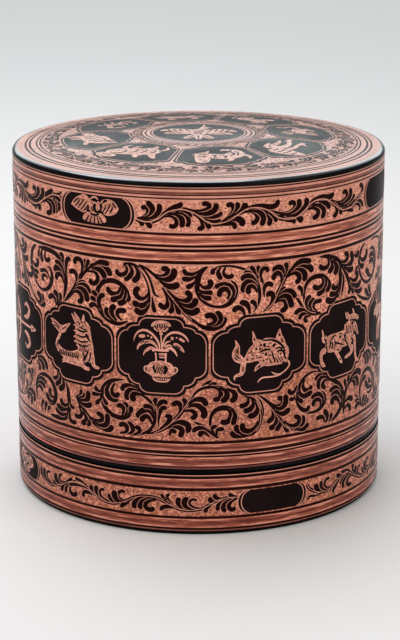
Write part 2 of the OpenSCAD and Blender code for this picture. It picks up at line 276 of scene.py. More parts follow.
# Strokes beside the reference pair, where the scrolls differ from its copies
BESIDE_VINES = in_mm([
    (-365, 1132, 4, -420, 1113, 11, -480, 1130, 13.5, -520, 1165, 13.5, -537, 1210, 13.5, -540, 1250, 13.5,
     -530, 1290, 13.5, -505, 1320, 13.5, -470, 1334, 13.5, -430, 1333, 13.5, -390, 1314, 11.5,
     -365, 1285, 9, -356, 1255, 4),
    (-760, 1180, 4, -730, 1210, 11.5, -695, 1250, 13.5, -665, 1295, 13.5, -640, 1335, 13.5,
     -610, 1370, 13.5, -580, 1395, 11.5, -545, 1414, 4),
    (-766, 1190, 4, -754, 1235, 11.5, -746, 1285, 14, -750, 1320, 14, -765, 1360, 14, -790, 1398, 14,
     -825, 1420, 14, -870, 1429, 14, -920, 1430, 12.5, -980, 1428, 4),
    (-1000, 1432, 3.5, -1026, 1420, 10, -1048, 1394, 14, -1058, 1360, 15, -1060, 1324, 13.5,
     -1052, 1292, 11, -1034, 1262, 10, -1008, 1234, 8.5, -976, 1212, 7.5, -942, 1205, 8, -908, 1214, 11,
     -878, 1236, 14, -860, 1268, 15, -856, 1300, 13, -868, 1328, 9, -894, 1341, 5),
    (-395, 820, 4, -450, 810, 11.5, -490, 785, 13.5, -515, 750, 13.5, -521, 715, 13.5, -510, 675, 13.5,
     -485, 640, 13.5, -450, 620, 13.5, -410, 614, 13.5, -375, 624, 12, -352, 650, 9.5, -347, 680, 4),
    (-692, 686, 3.5, -660, 645, 11, -620, 605, 11, -580, 565, 11, -540, 536, 3.5),
    (-760, 746, 4, -746, 710, 11.5, -740, 665, 14, -736, 620, 14, -745, 580, 14, -766, 550, 14,
     -800, 538, 14, -855, 535, 11.5, -895, 536, 4),
    (-1022, 586, 3.5, -1030, 620, 9, -1032, 660, 12, -1018, 696, 13, -988, 726, 12, -950, 742, 12,
     -914, 740, 12, -880, 724, 14, -856, 696, 15.5, -844, 664, 16, -848, 630, 15.5, -868, 606, 14,
     -900, 596, 9, -916, 606, 4),
    (663, 1430, 4, 713, 1425, 12, 754, 1410, 13.5, 785, 1383, 13.5, 808, 1346, 13.5, 816, 1300, 13.5,
     815, 1260, 13.5, 805, 1210, 9, 799, 1190, 4),
    (735, 1428, 3.5, 785, 1400, 11, 830, 1355, 12, 867, 1300, 12, 900, 1242, 12, 934, 1205, 11,
     980, 1178, 3.5),
    (830, 1320, 2.5, 844, 1278, 8.5, 835, 1224, 8.5, 826, 1192, 2.5),
    (754, 754, 4, 799, 735, 13, 835, 704, 14, 853, 663, 14, 853, 617, 14, 830, 576, 14, 795, 545, 11.5,
     764, 529, 4),
    (868, 540, 4, 865, 580, 11.5, 870, 630, 12.5, 883, 675, 12.5, 910, 705, 12.5, 950, 720, 10.5,
     980, 725, 4),
    (950, 1190, 3.5, 1010, 1149, 8, 1070, 1126, 10, 1124, 1118, 9, 1156, 1134, 4),
    (1050, 1432, 4, 1014, 1414, 10, 994, 1384, 13, 985, 1346, 12, 988, 1310, 10, 1000, 1276, 9,
     1026, 1242, 9, 1064, 1219, 9, 1104, 1214, 10, 1146, 1228, 11, 1180, 1256, 13, 1198, 1294, 15,
     1196, 1334, 15, 1176, 1368, 13, 1146, 1388, 10, 1114, 1386, 5),
    (1044, 562, 3.5, 1028, 600, 8, 1024, 640, 11, 1034, 680, 13, 1058, 712, 13, 1090, 729, 13,
     1126, 728, 13, 1162, 710, 13, 1188, 680, 13, 1200, 644, 13, 1196, 612, 12, 1174, 592, 11,
     1144, 588, 9, 1116, 600, 4),
    (976, 622, 6, 1000, 602, 9, 1024, 574, 9, 1046, 548, 9, 1074, 531, 4),
])
BESIDE_LEAVES = in_mm([
    (10, -400, 1316, -414, 1280, -435, 1267, -460, 1272, -475, 1288, -464, 1296),
    (11, -390, 1306, -398, 1264, -420, 1246, -462, 1233),
    (11, -376, 1296, -377, 1252, -390, 1230, -422, 1219), (8, -362, 1284, -357, 1254, -369, 1235),
    (9.5, -500, 1150, -526, 1195, -530, 1225, -515, 1248, -493, 1255),
    (9, -446, 1126, -480, 1152, -487, 1176, -476, 1191),
    (11.5, -428, 1128, -456, 1166, -452, 1192, -431, 1206),
    (10, -398, 1133, -423, 1158, -415, 1182, -372, 1186), (9.5, -540, 1220, -548, 1250, -572, 1266),
    (9.5, -538, 1200, -558, 1224, -583, 1232), (9.5, -533, 1180, -560, 1198, -590, 1180),
    (10.5, -570, 1400, -520, 1423, -464, 1420), (11.5, -558, 1398, -504, 1399, -470, 1385, -462, 1356),
    (12, -572, 1386, -524, 1384, -498, 1360, -499, 1339),
    (9.5, -600, 1364, -560, 1369, -536, 1354, -536, 1324, -560, 1306, -580, 1314, -570, 1327),
    (8, -632, 1355, -619, 1390, -615, 1428), (8, -606, 1380, -596, 1405, -588, 1428),
    (9.5, -638, 1343, -629, 1385, -636, 1414, -660, 1422, -680, 1410, -673, 1391),
    (9.5, -676, 1288, -670, 1330, -685, 1351, -708, 1347, -716, 1335),
    (7.5, -676, 1274, -650, 1300, -612, 1307),
    (10, -686, 1258, -650, 1286, -610, 1287, -589, 1263, -587, 1249),
    (12.5, -696, 1244, -660, 1266, -625, 1262, -606, 1235, -602, 1203),
    (10, -710, 1230, -675, 1249, -646, 1240, -636, 1215, -646, 1198, -666, 1204),
    (8.5, -750, 1315, -775, 1360, -800, 1379, -829, 1378),
    (13, -754, 1290, -780, 1335, -810, 1352, -838, 1329),
    (10, -760, 1276, -776, 1310, -800, 1317, -820, 1304, -810, 1284),
    (7.5, -874, 1274, -894, 1306, -926, 1314, -966, 1301),
    (10, -1048, 1340, -1026, 1322, -998, 1324, -987, 1344, -1000, 1361),
    (10, -1054, 1308, -1022, 1290, -980, 1289), (9.5, -1046, 1280, -1018, 1264, -989, 1261),
    (10.5, -990, 1119, -956, 1130, -946, 1154, -952, 1182),
    (10.5, -1000, 1130, -970, 1134, -970, 1164, -1004, 1180),
    (8.5, -894, 1276, -914, 1287, -936, 1283, -942, 1266, -928, 1258),
    (10, -824, 1144, -833, 1180, -855, 1191, -878, 1180, -880, 1165),
    (11, -814, 1148, -810, 1190, -825, 1210, -847, 1217), (8.5, -800, 1158, -788, 1195, -797, 1218),
    (9, -760, 1386, -770, 1420, -792, 1427), (9.5, -740, 1333, -742, 1380, -730, 1409, -709, 1406),
    (9, -970, 1426, -976, 1390, -970, 1373), (10, -938, 1426, -950, 1390, -937, 1354),
    (9, -908, 1426, -917, 1390, -905, 1373, -883, 1375, -870, 1391),
    (9, -970, 1112, -940, 1122, -922, 1142), (12.5, -466, 796, -490, 754, -478, 719, -446, 708, -423, 716),
    (9.5, -442, 796, -460, 756, -448, 730, -428, 732, -425, 750), (8.5, -514, 716, -498, 685, -482, 674),
    (12, -384, 626, -374, 668, -396, 699), (9.5, -402, 624, -393, 663, -410, 680, -432, 674),
    (10, -366, 634, -353, 660, -355, 684), (9.5, -310, 786, -360, 793, -394, 784, -400, 758),
    (12, -308, 770, -354, 770, -373, 746, -370, 713), (12, -296, 750, -330, 753, -343, 734, -332, 710),
    (9, -516, 744, -545, 740, -561, 762), (8.5, -520, 724, -550, 719, -582, 720),
    (9, -520, 704, -540, 684, -558, 666), (9, -690, 680, -656, 696, -652, 727),
    (9.5, -684, 676, -635, 686, -626, 714), (11.5, -676, 668, -620, 672, -605, 700, -606, 728),
    (10.5, -670, 658, -630, 647, -600, 650, -584, 666),
    (10, -598, 588, -560, 576, -526, 580, -516, 604, -535, 614, -554, 620),
    (11, -574, 566, -530, 554, -496, 564, -486, 595, -492, 625),
    (10.5, -544, 544, -500, 536, -470, 544, -460, 566),
    (9.5, -672, 634, -650, 600, -660, 578, -685, 575, -695, 587),
    (11.5, -642, 608, -620, 580, -627, 556, -654, 542), (9, -614, 574, -596, 556, -616, 537),
    (10, -740, 634, -765, 616, -790, 620, -801, 648), (11, -742, 604, -780, 590, -810, 594, -832, 611),
    (10.5, -752, 572, -790, 560, -825, 570, -846, 586), (7.5, -734, 650, -722, 620, -698, 616),
    (9, -734, 600, -735, 552, -715, 536, -686, 541), (8.5, -820, 795, -824, 766, -835, 749, -865, 748),
    (11, -800, 782, -803, 752, -815, 729, -844, 714), (11.5, -780, 764, -776, 730, -788, 708, -817, 694),
    (9.5, -850, 640, -880, 638, -898, 658, -887, 682), (11, -860, 608, -900, 614, -930, 646),
    (8.5, -1016, 698, -984, 715, -946, 710, -928, 694), (9, -1022, 674, -990, 690, -956, 685, -940, 666),
    (8.5, -1026, 648, -1000, 666, -974, 658, -968, 640), (9, -970, 540, -975, 570, -954, 600),
    (11, -942, 542, -938, 575, -922, 596), (8.5, -917, 543, -910, 565, -891, 576),
    (11, -1015, 824, -970, 832, -930, 812, -916, 776), (11, -1008, 812, -974, 810, -954, 788, -952, 764),
    (9, -1016, 800, -996, 790, -988, 770, -998, 758),
    (9.5, 713, 1424, 726, 1392, 713, 1369, 685, 1367, 667, 1376, 673, 1389),
    (11.5, 730, 1415, 754, 1378, 745, 1352, 721, 1339), (12.5, 758, 1397, 785, 1360, 780, 1334, 764, 1323),
    (10, 810, 1270, 785, 1247, 763, 1250, 757, 1272), (12, 809, 1246, 785, 1216, 758, 1215, 736, 1228),
    (12, 800, 1208, 763, 1184, 730, 1187, 711, 1205),
    (9.5, 809, 1380, 850, 1374, 872, 1388, 867, 1410, 844, 1418),
    (11.5, 820, 1367, 867, 1347, 904, 1355, 917, 1378, 903, 1418), (11, 845, 1344, 895, 1320, 929, 1325),
    (10, 895, 1280, 930, 1256, 963, 1260, 968, 1286, 945, 1292), (11, 933, 1393, 958, 1383, 978, 1408),
    (8.5, 880, 1264, 899, 1218, 884, 1194), (8.5, 906, 1220, 927, 1200, 923, 1186),
    (10, 844, 660, 822, 690, 785, 708, 747, 695), (12, 842, 636, 813, 672, 781, 676, 762, 656),
    (11.5, 832, 600, 822, 627, 795, 651, 768, 644, 776, 616), (9.5, 712, 536, 708, 560, 685, 570, 653, 565),
    (11, 724, 530, 735, 560, 720, 588, 704, 599), (9, 748, 532, 760, 550, 764, 575),
    (10, 868, 570, 900, 586, 920, 570, 923, 543), (11, 870, 604, 910, 622, 950, 603),
    (9.5, 886, 676, 875, 710, 867, 736), (8.5, 904, 700, 899, 730, 911, 749),
    (9.5, 930, 713, 960, 696, 965, 668), (11, 988, 1380, 1006, 1354, 1036, 1346, 1064, 1362, 1070, 1396),
    (11, 988, 1342, 1006, 1318, 1042, 1312), (10, 1190, 1300, 1174, 1338, 1144, 1356, 1104, 1344),
    (10, 1180, 1274, 1162, 1312, 1134, 1324, 1106, 1310),
    (12, 1140, 1234, 1104, 1250, 1084, 1274, 1060, 1280),
    (10, 1136, 1128, 1100, 1140, 1078, 1164, 1056, 1180), (11, 1146, 1132, 1122, 1160, 1104, 1194),
    (11, 914, 1246, 954, 1224, 988, 1222, 1005, 1246), (10, 932, 1210, 970, 1190, 1000, 1186, 1022, 1198),
    (8, 946, 1300, 958, 1314, 970, 1326), (11, 1028, 650, 1046, 676, 1072, 690, 1098, 686),
    (12, 1180, 614, 1142, 620, 1110, 640, 1086, 668), (11, 1176, 640, 1150, 650, 1132, 672),
    (11, 1032, 564, 1004, 582, 974, 584), (10, 1040, 552, 1008, 566, 986, 554, 990, 538),
    (11, 1070, 534, 1064, 564, 1084, 592), (11, 1086, 532, 1096, 560, 1118, 578),
    (10, 1100, 532, 1124, 546, 1148, 548), (12, 910, 718, 954, 744, 996, 750, 1030, 724),
    (12, 920, 708, 960, 722, 988, 708, 1000, 664), (12, 1050, 820, 1080, 806, 1094, 780, 1082, 760),
    (12, 1066, 830, 1104, 816, 1122, 784, 1116, 756), (11, 1090, 836, 1136, 820, 1158, 790, 1156, 766),
])
BESIDE_REACH = (-106.5, 121.0)


# Beasts and things in the cartouches, in tenths of a mm too: the middle's u and z, then rows of u, z,
# half-width in copper and in engraved black

def mirrored(rows):
    """The rows and their mirror images left to right."""
    return rows + [tuple(-v if k % 3 == 0 else v for k, v in enumerate(row)) for row in rows]


FISH = (320, 965, [
    (225, 938, 16, 250, 945, 24, 290, 972, 48, 325, 975, 69, 365, 970, 74, 403, 963, 66, 434, 956, 53,
     450, 946, 34, 461, 926, 14),
    (360, 915, 16, 400, 913, 15, 440, 914, 13, 466, 920, 12),
    (426, 1030, 11, 444, 1000, 12, 456, 960, 13, 461, 925, 11),
    (226, 935, 15, 200, 948, 22, 186, 970, 21, 192, 1000, 15, 193, 1020, 9, 182, 1048, 2),
    (230, 934, 14, 224, 910, 13, 221, 886, 13, 212, 865, 10, 192, 860, 7, 179, 850, 5, 182, 832, 2),
    (272, 1088, 3, 279, 1066, 6, 282, 1044, 11, 293, 1028, 16, 315, 1030, 12, 334, 1040, 5),
    (421, 1089, 2, 419, 1065, 11, 418, 1042, 20, 429, 1016, 21, 442, 990, 17),
    (468, 916, 6, 478, 893, 4.5, 467, 873, 4, 443, 854, 4, 417, 846, 3.5, 393, 852, 3.5, 375, 863, 2),
    (440, 850, 3, 420, 842, 3.5, 400, 838, 3.5, 367, 837, 3.8, 333, 838, 3.8, 313, 830, 3.5, 301, 814, 2),
    (332, 908, 9, 310, 903, 11, 294, 890, 8, 285, 874, 2),
], [
    (317, 1019, 4, 317, 1006, 4), (341, 1021, 3, 335, 1010, 5.5, 340, 999, 3),
    (369, 1020, 4.5, 366, 1014, 4.5), (292, 999, 4.5, 292, 986, 4.5), (313, 998, 4.2, 311, 986, 4.2),
    (361, 1003, 4.2, 356, 997, 4.2), (400, 1010, 2.5, 388, 1003, 6, 384, 992, 3),
    (310, 972, 3.5, 326, 981, 4.2, 347, 985, 4, 372, 980, 3), (348, 970, 3, 343, 961, 5, 348, 951, 3),
    (326, 970, 4, 330, 964, 4), (297, 960, 4, 295, 954, 4), (312, 950, 4.2, 316, 944, 4.2),
    (270, 966, 4.2, 274, 958, 4.2), (272, 947, 4, 277, 940, 4), (292, 948, 3.5, 295, 942, 3.5),
    (247, 946, 3.5, 248, 934, 3.5), (346, 936, 4.2, 355, 928, 3.5), (362, 958, 4.2, 369, 952, 3.5),
    (262, 984, 3, 270, 976, 3.5), (328, 930, 3.5, 336, 922, 3),
    (310, 1044, 2, 340, 1034, 3.5, 374, 1034, 4, 406, 1020, 5, 436, 994, 4.5, 450, 966, 3),
    (394, 982, 2, 416, 989, 3.5, 436, 980, 3.5), (376, 976, 2, 384, 946, 3.5, 396, 910, 2.5),
    (404, 964, 2.5, 424, 973, 4.5, 444, 962, 5, 449, 938, 4, 460, 920, 3), (423, 957, 4, 430, 953, 4),
    (396, 940, 1.8, 414, 910, 2.8), (410, 940, 1.8, 428, 912, 2.8), (426, 938, 1.8, 440, 916, 2.8),
    (434, 906, 2.5, 454, 904, 3), (362, 938, 1.8, 376, 910, 2.8), (419, 1062, 3, 418, 1048, 4.5),
    (426, 1036, 1.8, 440, 1012, 3), (279, 1050, 2.5, 285, 1042, 3.5),
    (180, 976, 1.8, 194, 958, 2.8, 212, 946, 2), (178, 956, 2, 196, 940, 3),
    (196, 1010, 1.8, 196, 976, 2.8), (188, 1004, 1.8, 186, 980, 2.5), (224, 904, 1.8, 222, 878, 2.8),
    (316, 903, 4, 302, 894, 3.5),
])
MAKARA = (-690, 975, [
    (-630, 910, 42, -665, 906, 32, -700, 897, 26, -740, 894, 24, -780, 902, 20, -810, 921, 16,
     -825, 943, 11, -812, 972, 8.5, -798, 996, 9, -790, 1020, 14),
    (-790, 1014, 13, -810, 1032, 19, -836, 1050, 15, -856, 1062, 8, -870, 1070, 2.5),
    (-806, 1028, 13, -836, 1039, 12, -862, 1046, 3), (-795, 1016, 10, -792, 1038, 18, -792, 1050, 6),
    (-790, 1014, 12, -770, 1030, 18, -752, 1046, 12, -736, 1057, 8, -718, 1070, 2.5),
    (-780, 848, 6, -764, 866, 13, -720, 867, 14, -670, 867, 16, -636, 862, 14),
    (-614, 876, 32, -613, 910, 45, -616, 955, 50, -628, 1000, 52, -632, 1040, 49, -638, 1074, 45,
     -644, 1102, 28),
    (-615, 1060, 18, -596, 1061, 16, -585, 1060, 13),
    (-586, 950, 16, -573, 910, 13, -569, 880, 11, -556, 865, 9, -530, 862, 7),
    (-648, 890, 12, -640, 864, 12, -622, 850, 10, -592, 845, 9),
    (-676, 1082, 9, -692, 1104, 6, -709, 1126, 3), (-658, 1096, 13, -674, 1114, 8, -690, 1136, 3),
    (-627, 1100, 9, -627, 1116, 6, -626, 1133, 2.5), (-665, 1065, 9, -694, 1068, 2),
    (-665, 1040, 9, -694, 1036, 2), (-665, 1010, 10, -696, 1004, 2.5), (-665, 986, 10, -694, 979, 2.5),
    (-660, 964, 8, -677, 960, 3),
], [
    (-675, 1049, 2.5, -640, 1041, 4.2, -605, 1046, 3), (-676, 1019, 2.5, -640, 1011, 4.2, -606, 1020, 3),
    (-680, 992, 2, -640, 985, 3.8, -596, 994, 3), (-670, 972, 2.5, -635, 962, 4.2, -595, 972, 3),
    (-639, 1070, 4.5, -632, 1067, 4.5), (-613, 1032, 7, -602, 1016, 6, -587, 996, 3),
    (-620, 869, 3, -604, 875, 8, -591, 873, 5), (-635, 934, 3, -625, 908, 4, -630, 880, 3),
    (-599, 940, 3.5, -612, 915, 4.2, -622, 888, 3), (-580, 940, 3, -588, 908, 3.5, -596, 884, 3),
    (-666, 1090, 2, -648, 1074, 3), (-650, 1104, 2, -634, 1086, 3), (-622, 1098, 2, -614, 1078, 3),
    (-656, 1063, 2.5, -626, 1055, 3, -606, 1056, 2), (-800, 1030, 2, -824, 1049, 2.8, -850, 1056, 2),
    (-802, 1026, 2, -826, 1035, 2.8, -852, 1037, 2), (-780, 1026, 2, -746, 1048, 2.8),
    (-826, 924, 2, -816, 946, 2.8, -806, 966, 2),
] + [(-796 + 13.5 * k, 919, 2, -806 + 13.5 * k, 889, 4.2) for k in range(11)]
  + [(-650 + 13 * k, 956, 2, -654 + 13 * k, 934, 3.2) for k in range(5)])
VASE = (-190, 975, [
    (-239, 1116, 6, -222, 1135, 7.5, -190, 1142, 8, -158, 1136, 8, -140, 1121, 7),
    (-190, 1113, 39, -190, 1102, 34, -190, 1089, 17), (-190, 1090, 8, -189, 1074, 8),
    (-190, 1076, 3.5, -188, 1040, 3, -183, 1000, 5),
    (-196, 998, 5, -203, 1033, 5, -223, 1064, 5.5, -250, 1087, 6, -277, 1095, 6, -303, 1087, 5.5,
     -321, 1069, 4, -330, 1047, 3, -333, 1030, 1.5),
    (-182, 1010, 3.5, -172, 1055, 4, -150, 1080, 5, -127, 1090, 6, -100, 1089, 6, -73, 1076, 5,
     -57, 1057, 4, -49, 1040, 2),
    (-306, 1060, 5, -289, 1062, 9.5, -271, 1064, 6), (-259, 1063, 5, -255, 1068, 5),
    (-244, 1057, 5.5, -235, 1059, 5.5), (-140, 1060, 7, -126, 1057, 8), (-111, 1066, 4, -109, 1059, 4),
    (-97, 1059, 7, -70, 1043, 5),
    (-208, 1000, 4, -220, 1021, 5.5, -243, 1036, 8.5, -268, 1033, 9, -290, 1026, 8.5, -307, 1010, 6,
     -316, 986, 2),
    (-220, 996, 6, -243, 1003, 7.5, -266, 989, 7, -278, 975, 3, -283, 959, 1.5),
    (-174, 1012, 3.5, -162, 1036, 3.5, -140, 1044, 2), (-168, 1008, 3.5, -153, 1022, 4, -132, 1017, 2.5),
    (-128, 1030, 5, -108, 1023, 9.5, -88, 1007, 8, -71, 987, 2.5),
    (-162, 1002, 5, -140, 1006, 7, -120, 990, 5.5, -107, 964, 2),
    (-236, 988, 4.5, -214, 995, 6, -185, 993, 6.5, -160, 995, 7, -151, 990, 5),
    (-219, 984, 4, -216, 955, 3.5, -215, 926, 4.5), (-164, 986, 4, -166, 955, 4, -167, 926, 4.5),
    (-202, 973, 5, -185, 971, 10, -168, 973, 8), (-200, 958, 4, -184, 957, 5.5, -169, 959, 4),
    (-202, 937, 4, -193, 936, 8, -182, 935, 5),
    (-266, 896, 16, -250, 894, 30, -224, 892, 42, -192, 891, 45, -162, 892, 42, -136, 894, 31,
     -120, 897, 16),
    (-262, 907, 2.8, -274, 902, 3, -279, 892, 3, -272, 878, 2.8, -256, 868, 2.5),
    (-124, 908, 2.8, -112, 903, 3, -107, 893, 3, -115, 878, 2.8, -130, 868, 2.5),
    (-236, 850, 3, -226, 836, 3.5, -210, 829, 3.5, -170, 828, 3.5, -152, 836, 3.5, -144, 849, 3),
] + [(-223 + 11 * k, 846, 3, -223 + 11 * k, 836, 3) for k in range(7)]
  + [(-226 + 12 * k, 1116, 2, -229 + 13 * k, 1132, 2) for k in range(7)], [
    (-184, 1095, 2.5, -176, 1086, 2.5), (-203, 1093, 2.5, -201, 1084, 2.5),
    (-218, 1114, 1.8, -206, 1100, 2.2), (-190, 1118, 1.8, -190, 1102, 2.2),
    (-162, 1114, 1.8, -174, 1100, 2.2), (-298, 1026, 1.8, -276, 1036, 2.5),
    (-280, 1024, 1.8, -258, 1038, 2.5), (-118, 1022, 1.8, -92, 1006, 2.5),
    (-234, 983, 1.8, -186, 983, 3, -156, 983, 1.8), (-206, 964, 2, -170, 963, 3),
    (-204, 946, 4, -180, 946, 5.5, -170, 946, 4), (-230, 851, 1.5, -190, 848, 2, -150, 851, 1.5),
    (-226, 916, 2.5, -228, 896, 5, -218, 872, 3), (-172, 914, 4, -164, 896, 7.5, -174, 868, 5),
] + [(-224 + 11 * k, 869, 1.8, -206 + 11 * k, 909, 2.8) for k in range(5)])
RAM = (845, 965, [
    (710, 955, 36, 750, 954, 48, 790, 956, 47, 830, 960, 44, 865, 962, 46, 895, 968, 48, 924, 970, 40),
    (715, 926, 19, 690, 918, 15, 682, 900, 10, 685, 873, 9, 694, 852, 11, 712, 839, 7),
    (786, 924, 22, 797, 896, 12, 816, 866, 10, 832, 844, 10, 841, 829, 7),
    (790, 922, 16, 814, 912, 16, 834, 926, 12), (686, 1040, 2.5, 693, 1016, 5, 706, 1000, 8, 720, 988, 9),
    (690, 1004, 4.5, 693, 982, 6, 706, 968, 6),
    (895, 1046, 20, 920, 1057, 22, 950, 1055, 19, 976, 1048, 13, 993, 1043, 8),
    (884, 1044, 18, 892, 1015, 29, 906, 985, 40, 916, 955, 38),
    (944, 1029, 12, 960, 1004, 13, 974, 980, 10, 989, 952, 3), (866, 1100, 3, 872, 1082, 5, 882, 1060, 7),
    (882, 1096, 3, 890, 1080, 5, 902, 1064, 7), (927, 1108, 2.5, 938, 1090, 5, 944, 1072, 6),
    (863, 1036, 4, 864, 1010, 7, 870, 982, 5),
    (905, 936, 20, 920, 910, 16, 930, 888, 14, 918, 867, 10, 892, 859, 9, 864, 852, 7),
    (940, 960, 20, 954, 925, 11, 960, 885, 8, 963, 850, 8, 976, 820, 9, 1000, 808, 5),
], [
    (852, 984, 3, 872, 942, 4.2, 894, 914, 3), (776, 962, 2.5, 792, 950, 3.8, 818, 940, 3.8, 854, 926, 2.5),
    (750, 972, 3, 770, 989, 4.2, 786, 993, 3), (758, 964, 3, 764, 944, 4, 756, 922, 3),
    (778, 970, 2.5, 782, 944, 3.5, 772, 916, 2.5), (814, 982, 3, 822, 976, 6, 832, 978, 3),
    (740, 978, 2.5, 746, 954, 4, 740, 928, 2.5), (716, 986, 2, 716, 950, 3, 726, 918, 2.5),
    (876, 1030, 2.5, 878, 1004, 4.2, 884, 978, 3), (896, 1026, 2, 896, 1000, 3.2, 900, 976, 2),
    (914, 1026, 2, 914, 1000, 3.2, 920, 974, 2), (932, 1012, 2, 936, 986, 3.2, 950, 962, 2.5),
    (902, 1048, 2.5, 926, 1045, 4, 956, 1040, 3.5, 974, 1040, 2), (914, 1064, 3, 922, 1063, 3),
    (976, 1054, 2, 984, 1050, 2.5), (918, 916, 3, 929, 922, 6, 934, 910, 4), (928, 948, 2, 942, 924, 3),
    (808, 994, 2, 840, 990, 3), (836, 964, 2, 860, 946, 3), (956, 1012, 1.8, 976, 976, 2.5),
    (796, 912, 1.8, 814, 908, 2.8), (699, 1014, 2, 710, 998, 3.5), (822, 860, 1.8, 832, 848, 3),
    (870, 990, 2.5, 864, 976, 4.5, 874, 968, 2.5),
])
BIRD = (-545, 1689, [
    (-570, 1704, 24, -594, 1713, 39, -626, 1715, 43, -660, 1712, 30, -697, 1704, 4),
    (-510, 1706, 24, -488, 1711, 40, -458, 1712, 41, -430, 1710, 29, -409, 1710, 6),
    (-574, 1684, 16, -546, 1698, 35, -519, 1686, 16), (-576, 1720, 8, -546, 1732, 12, -516, 1726, 8),
    (-572, 1744, 3.5, -560, 1754, 5, -540, 1756, 5, -526, 1746, 3.5),
    (-640, 1746, 5, -614, 1757, 8, -586, 1748, 5),
] + [(-549 + 0.45 * a, 1674, 9, -549 + 0.8 * a, 1652, 13, -549 + a, b, 9) for a, b in (
    (-68, 1634), (-42, 1627), (-14, 1623), (14, 1623), (40, 1627), (64, 1634))], [
    (-682, 1712, 2, -662, 1730, 3.5, -642, 1744, 2), (-670, 1697, 2, -654, 1714, 3, -634, 1740, 2),
    (-654, 1689, 2, -634, 1710, 3, -610, 1740, 2), (-634, 1682, 2, -614, 1704, 3, -592, 1732, 2),
    (-616, 1679, 2, -600, 1694, 3, -584, 1716, 2), (-596, 1680, 3.5, -586, 1694, 4.5, -584, 1710, 2.5),
    (-502, 1680, 2, -488, 1702, 3, -482, 1724, 2), (-484, 1679, 2, -466, 1706, 3, -454, 1734, 2),
    (-462, 1680, 2, -446, 1702, 3, -438, 1724, 2), (-498, 1732, 3, -486, 1744, 5, -472, 1748, 2.5),
    (-446, 1740, 2, -432, 1726, 3.5, -422, 1712, 2), (-508, 1690, 3, -509, 1710, 4.5, -504, 1730, 3),
    (-539, 1724, 5, -549, 1708, 7, -544, 1689, 6, -529, 1682, 5, -518, 1694, 3),
    (-566, 1708, 2, -564, 1694, 3, -556, 1684, 2), (-574, 1672, 3, -548, 1666, 4.5, -520, 1672, 3),
    (-564, 1742, 4, -546, 1744, 7, -529, 1738, 4),
] + [(-549 + 0.55 * a, 1662, 2, -549 + a, 1626, 3.4) for a in (-55, -28, 0, 27, 52)])
BOW = (0, 0, [
    (-110, -130, 4, -70, -70, 12, -58, 0, 15, -70, 70, 12, -110, 130, 4),
    (-110, -130, 3.5, -116, 0, 3.5, -110, 130, 3.5), (-180, 0, 6, 130, 0, 6), (120, 0, 22, 180, 0, 3),
    (-186, 22, 4, -150, 0, 12), (-186, -22, 4, -150, 0, 12),
    (20, 40, 6, 70, 50, 13, 100, 90, 12, 60, 120, 9, 30, 100, 5),
    (20, -40, 6, 70, -50, 13, 100, -90, 12, 60, -120, 9, 30, -100, 5),
], [
    (130, 0, 3, 160, 0, 2.5), (-66, 30, 3, -50, 30, 3), (-66, -30, 3, -50, -30, 3),
])
BULL = (0, 0, [
    (130, 0, 34, 80, 10, 48, 0, 10, 48, -60, 25, 52), (-40, 50, 24, -50, 84, 12),
    (-70, 30, 40, -106, 64, 30), (-100, 70, 28, -136, 56, 20, -160, 40, 12),
    (-106, 90, 8, -126, 124, 6, -106, 146, 3), (-90, 94, 8, -74, 122, 6, -80, 146, 3),
    (-60, -10, 20, -84, -60, 12, -80, -120, 10), (-30, -20, 18, -34, -70, 11, -50, -120, 10),
    (90, -20, 24, 70, -70, 13, 80, -124, 10), (120, -10, 22, 128, -60, 12, 118, -120, 10),
    (146, 20, 6, 176, -10, 6, 168, -70, 6, 180, -100, 9),
], [
    (-124, 68, 4, -118, 68, 4), (-90, 0, 2.5, -50, 20, 3.5, -50, 60, 2.5),
    (60, 40, 2.5, 90, 20, 3.5, 90, -20, 2.5), (-10, 40, 2.5, 10, 26, 3.5), (20, 40, 2.5, 40, 26, 3.5),
    (-10, 0, 2.5, 10, -14, 3.5), (20, 0, 2.5, 40, -14, 3.5),
])
TWO_BIRDS = (0, 0, mirrored([
    (-130, -30, 10, -90, -10, 30, -50, 20, 22, -36, 56, 15), (-38, 64, 18, -22, 68, 5),
    (-80, 6, 14, -130, 46, 19, -174, 90, 3), (-110, -20, 14, -160, -50, 13, -190, -94, 3),
    (-80, -30, 5, -84, -90, 4.5, -60, -100, 4), (-54, 80, 5, -66, 106, 3),
]), mirrored([
    (-40, 68, 3.5, -36, 68, 3.5), (-126, 24, 2, -100, 14, 3, -84, -6, 2),
    (-148, 54, 2, -120, 44, 3, -104, 26, 2), (-76, 24, 2.5, -56, 6, 3.5),
]))
CRAB = (0, 0, [(-84, 0, 24, -40, 0, 56, 0, 0, 64, 40, 0, 56, 84, 0, 24)] + mirrored([
    (-60, 40, 10, -110, 76, 12, -100, 116, 20, -56, 128, 3), (-106, 104, 12, -70, 100, 3),
    (-70, -6, 8, -130, 20, 7, -174, -20, 3), (-70, -26, 8, -130, -30, 7, -164, -80, 3),
    (-50, -44, 8, -90, -80, 7, -110, -124, 3),
]), mirrored([
    (-20, 40, 4, -16, 44, 4), (-56, -14, 2.5, -30, -34, 3.5, 0, -40, 3),
    (-50, 16, 2.5, -26, 2, 3.5, 0, -2, 3),
]))
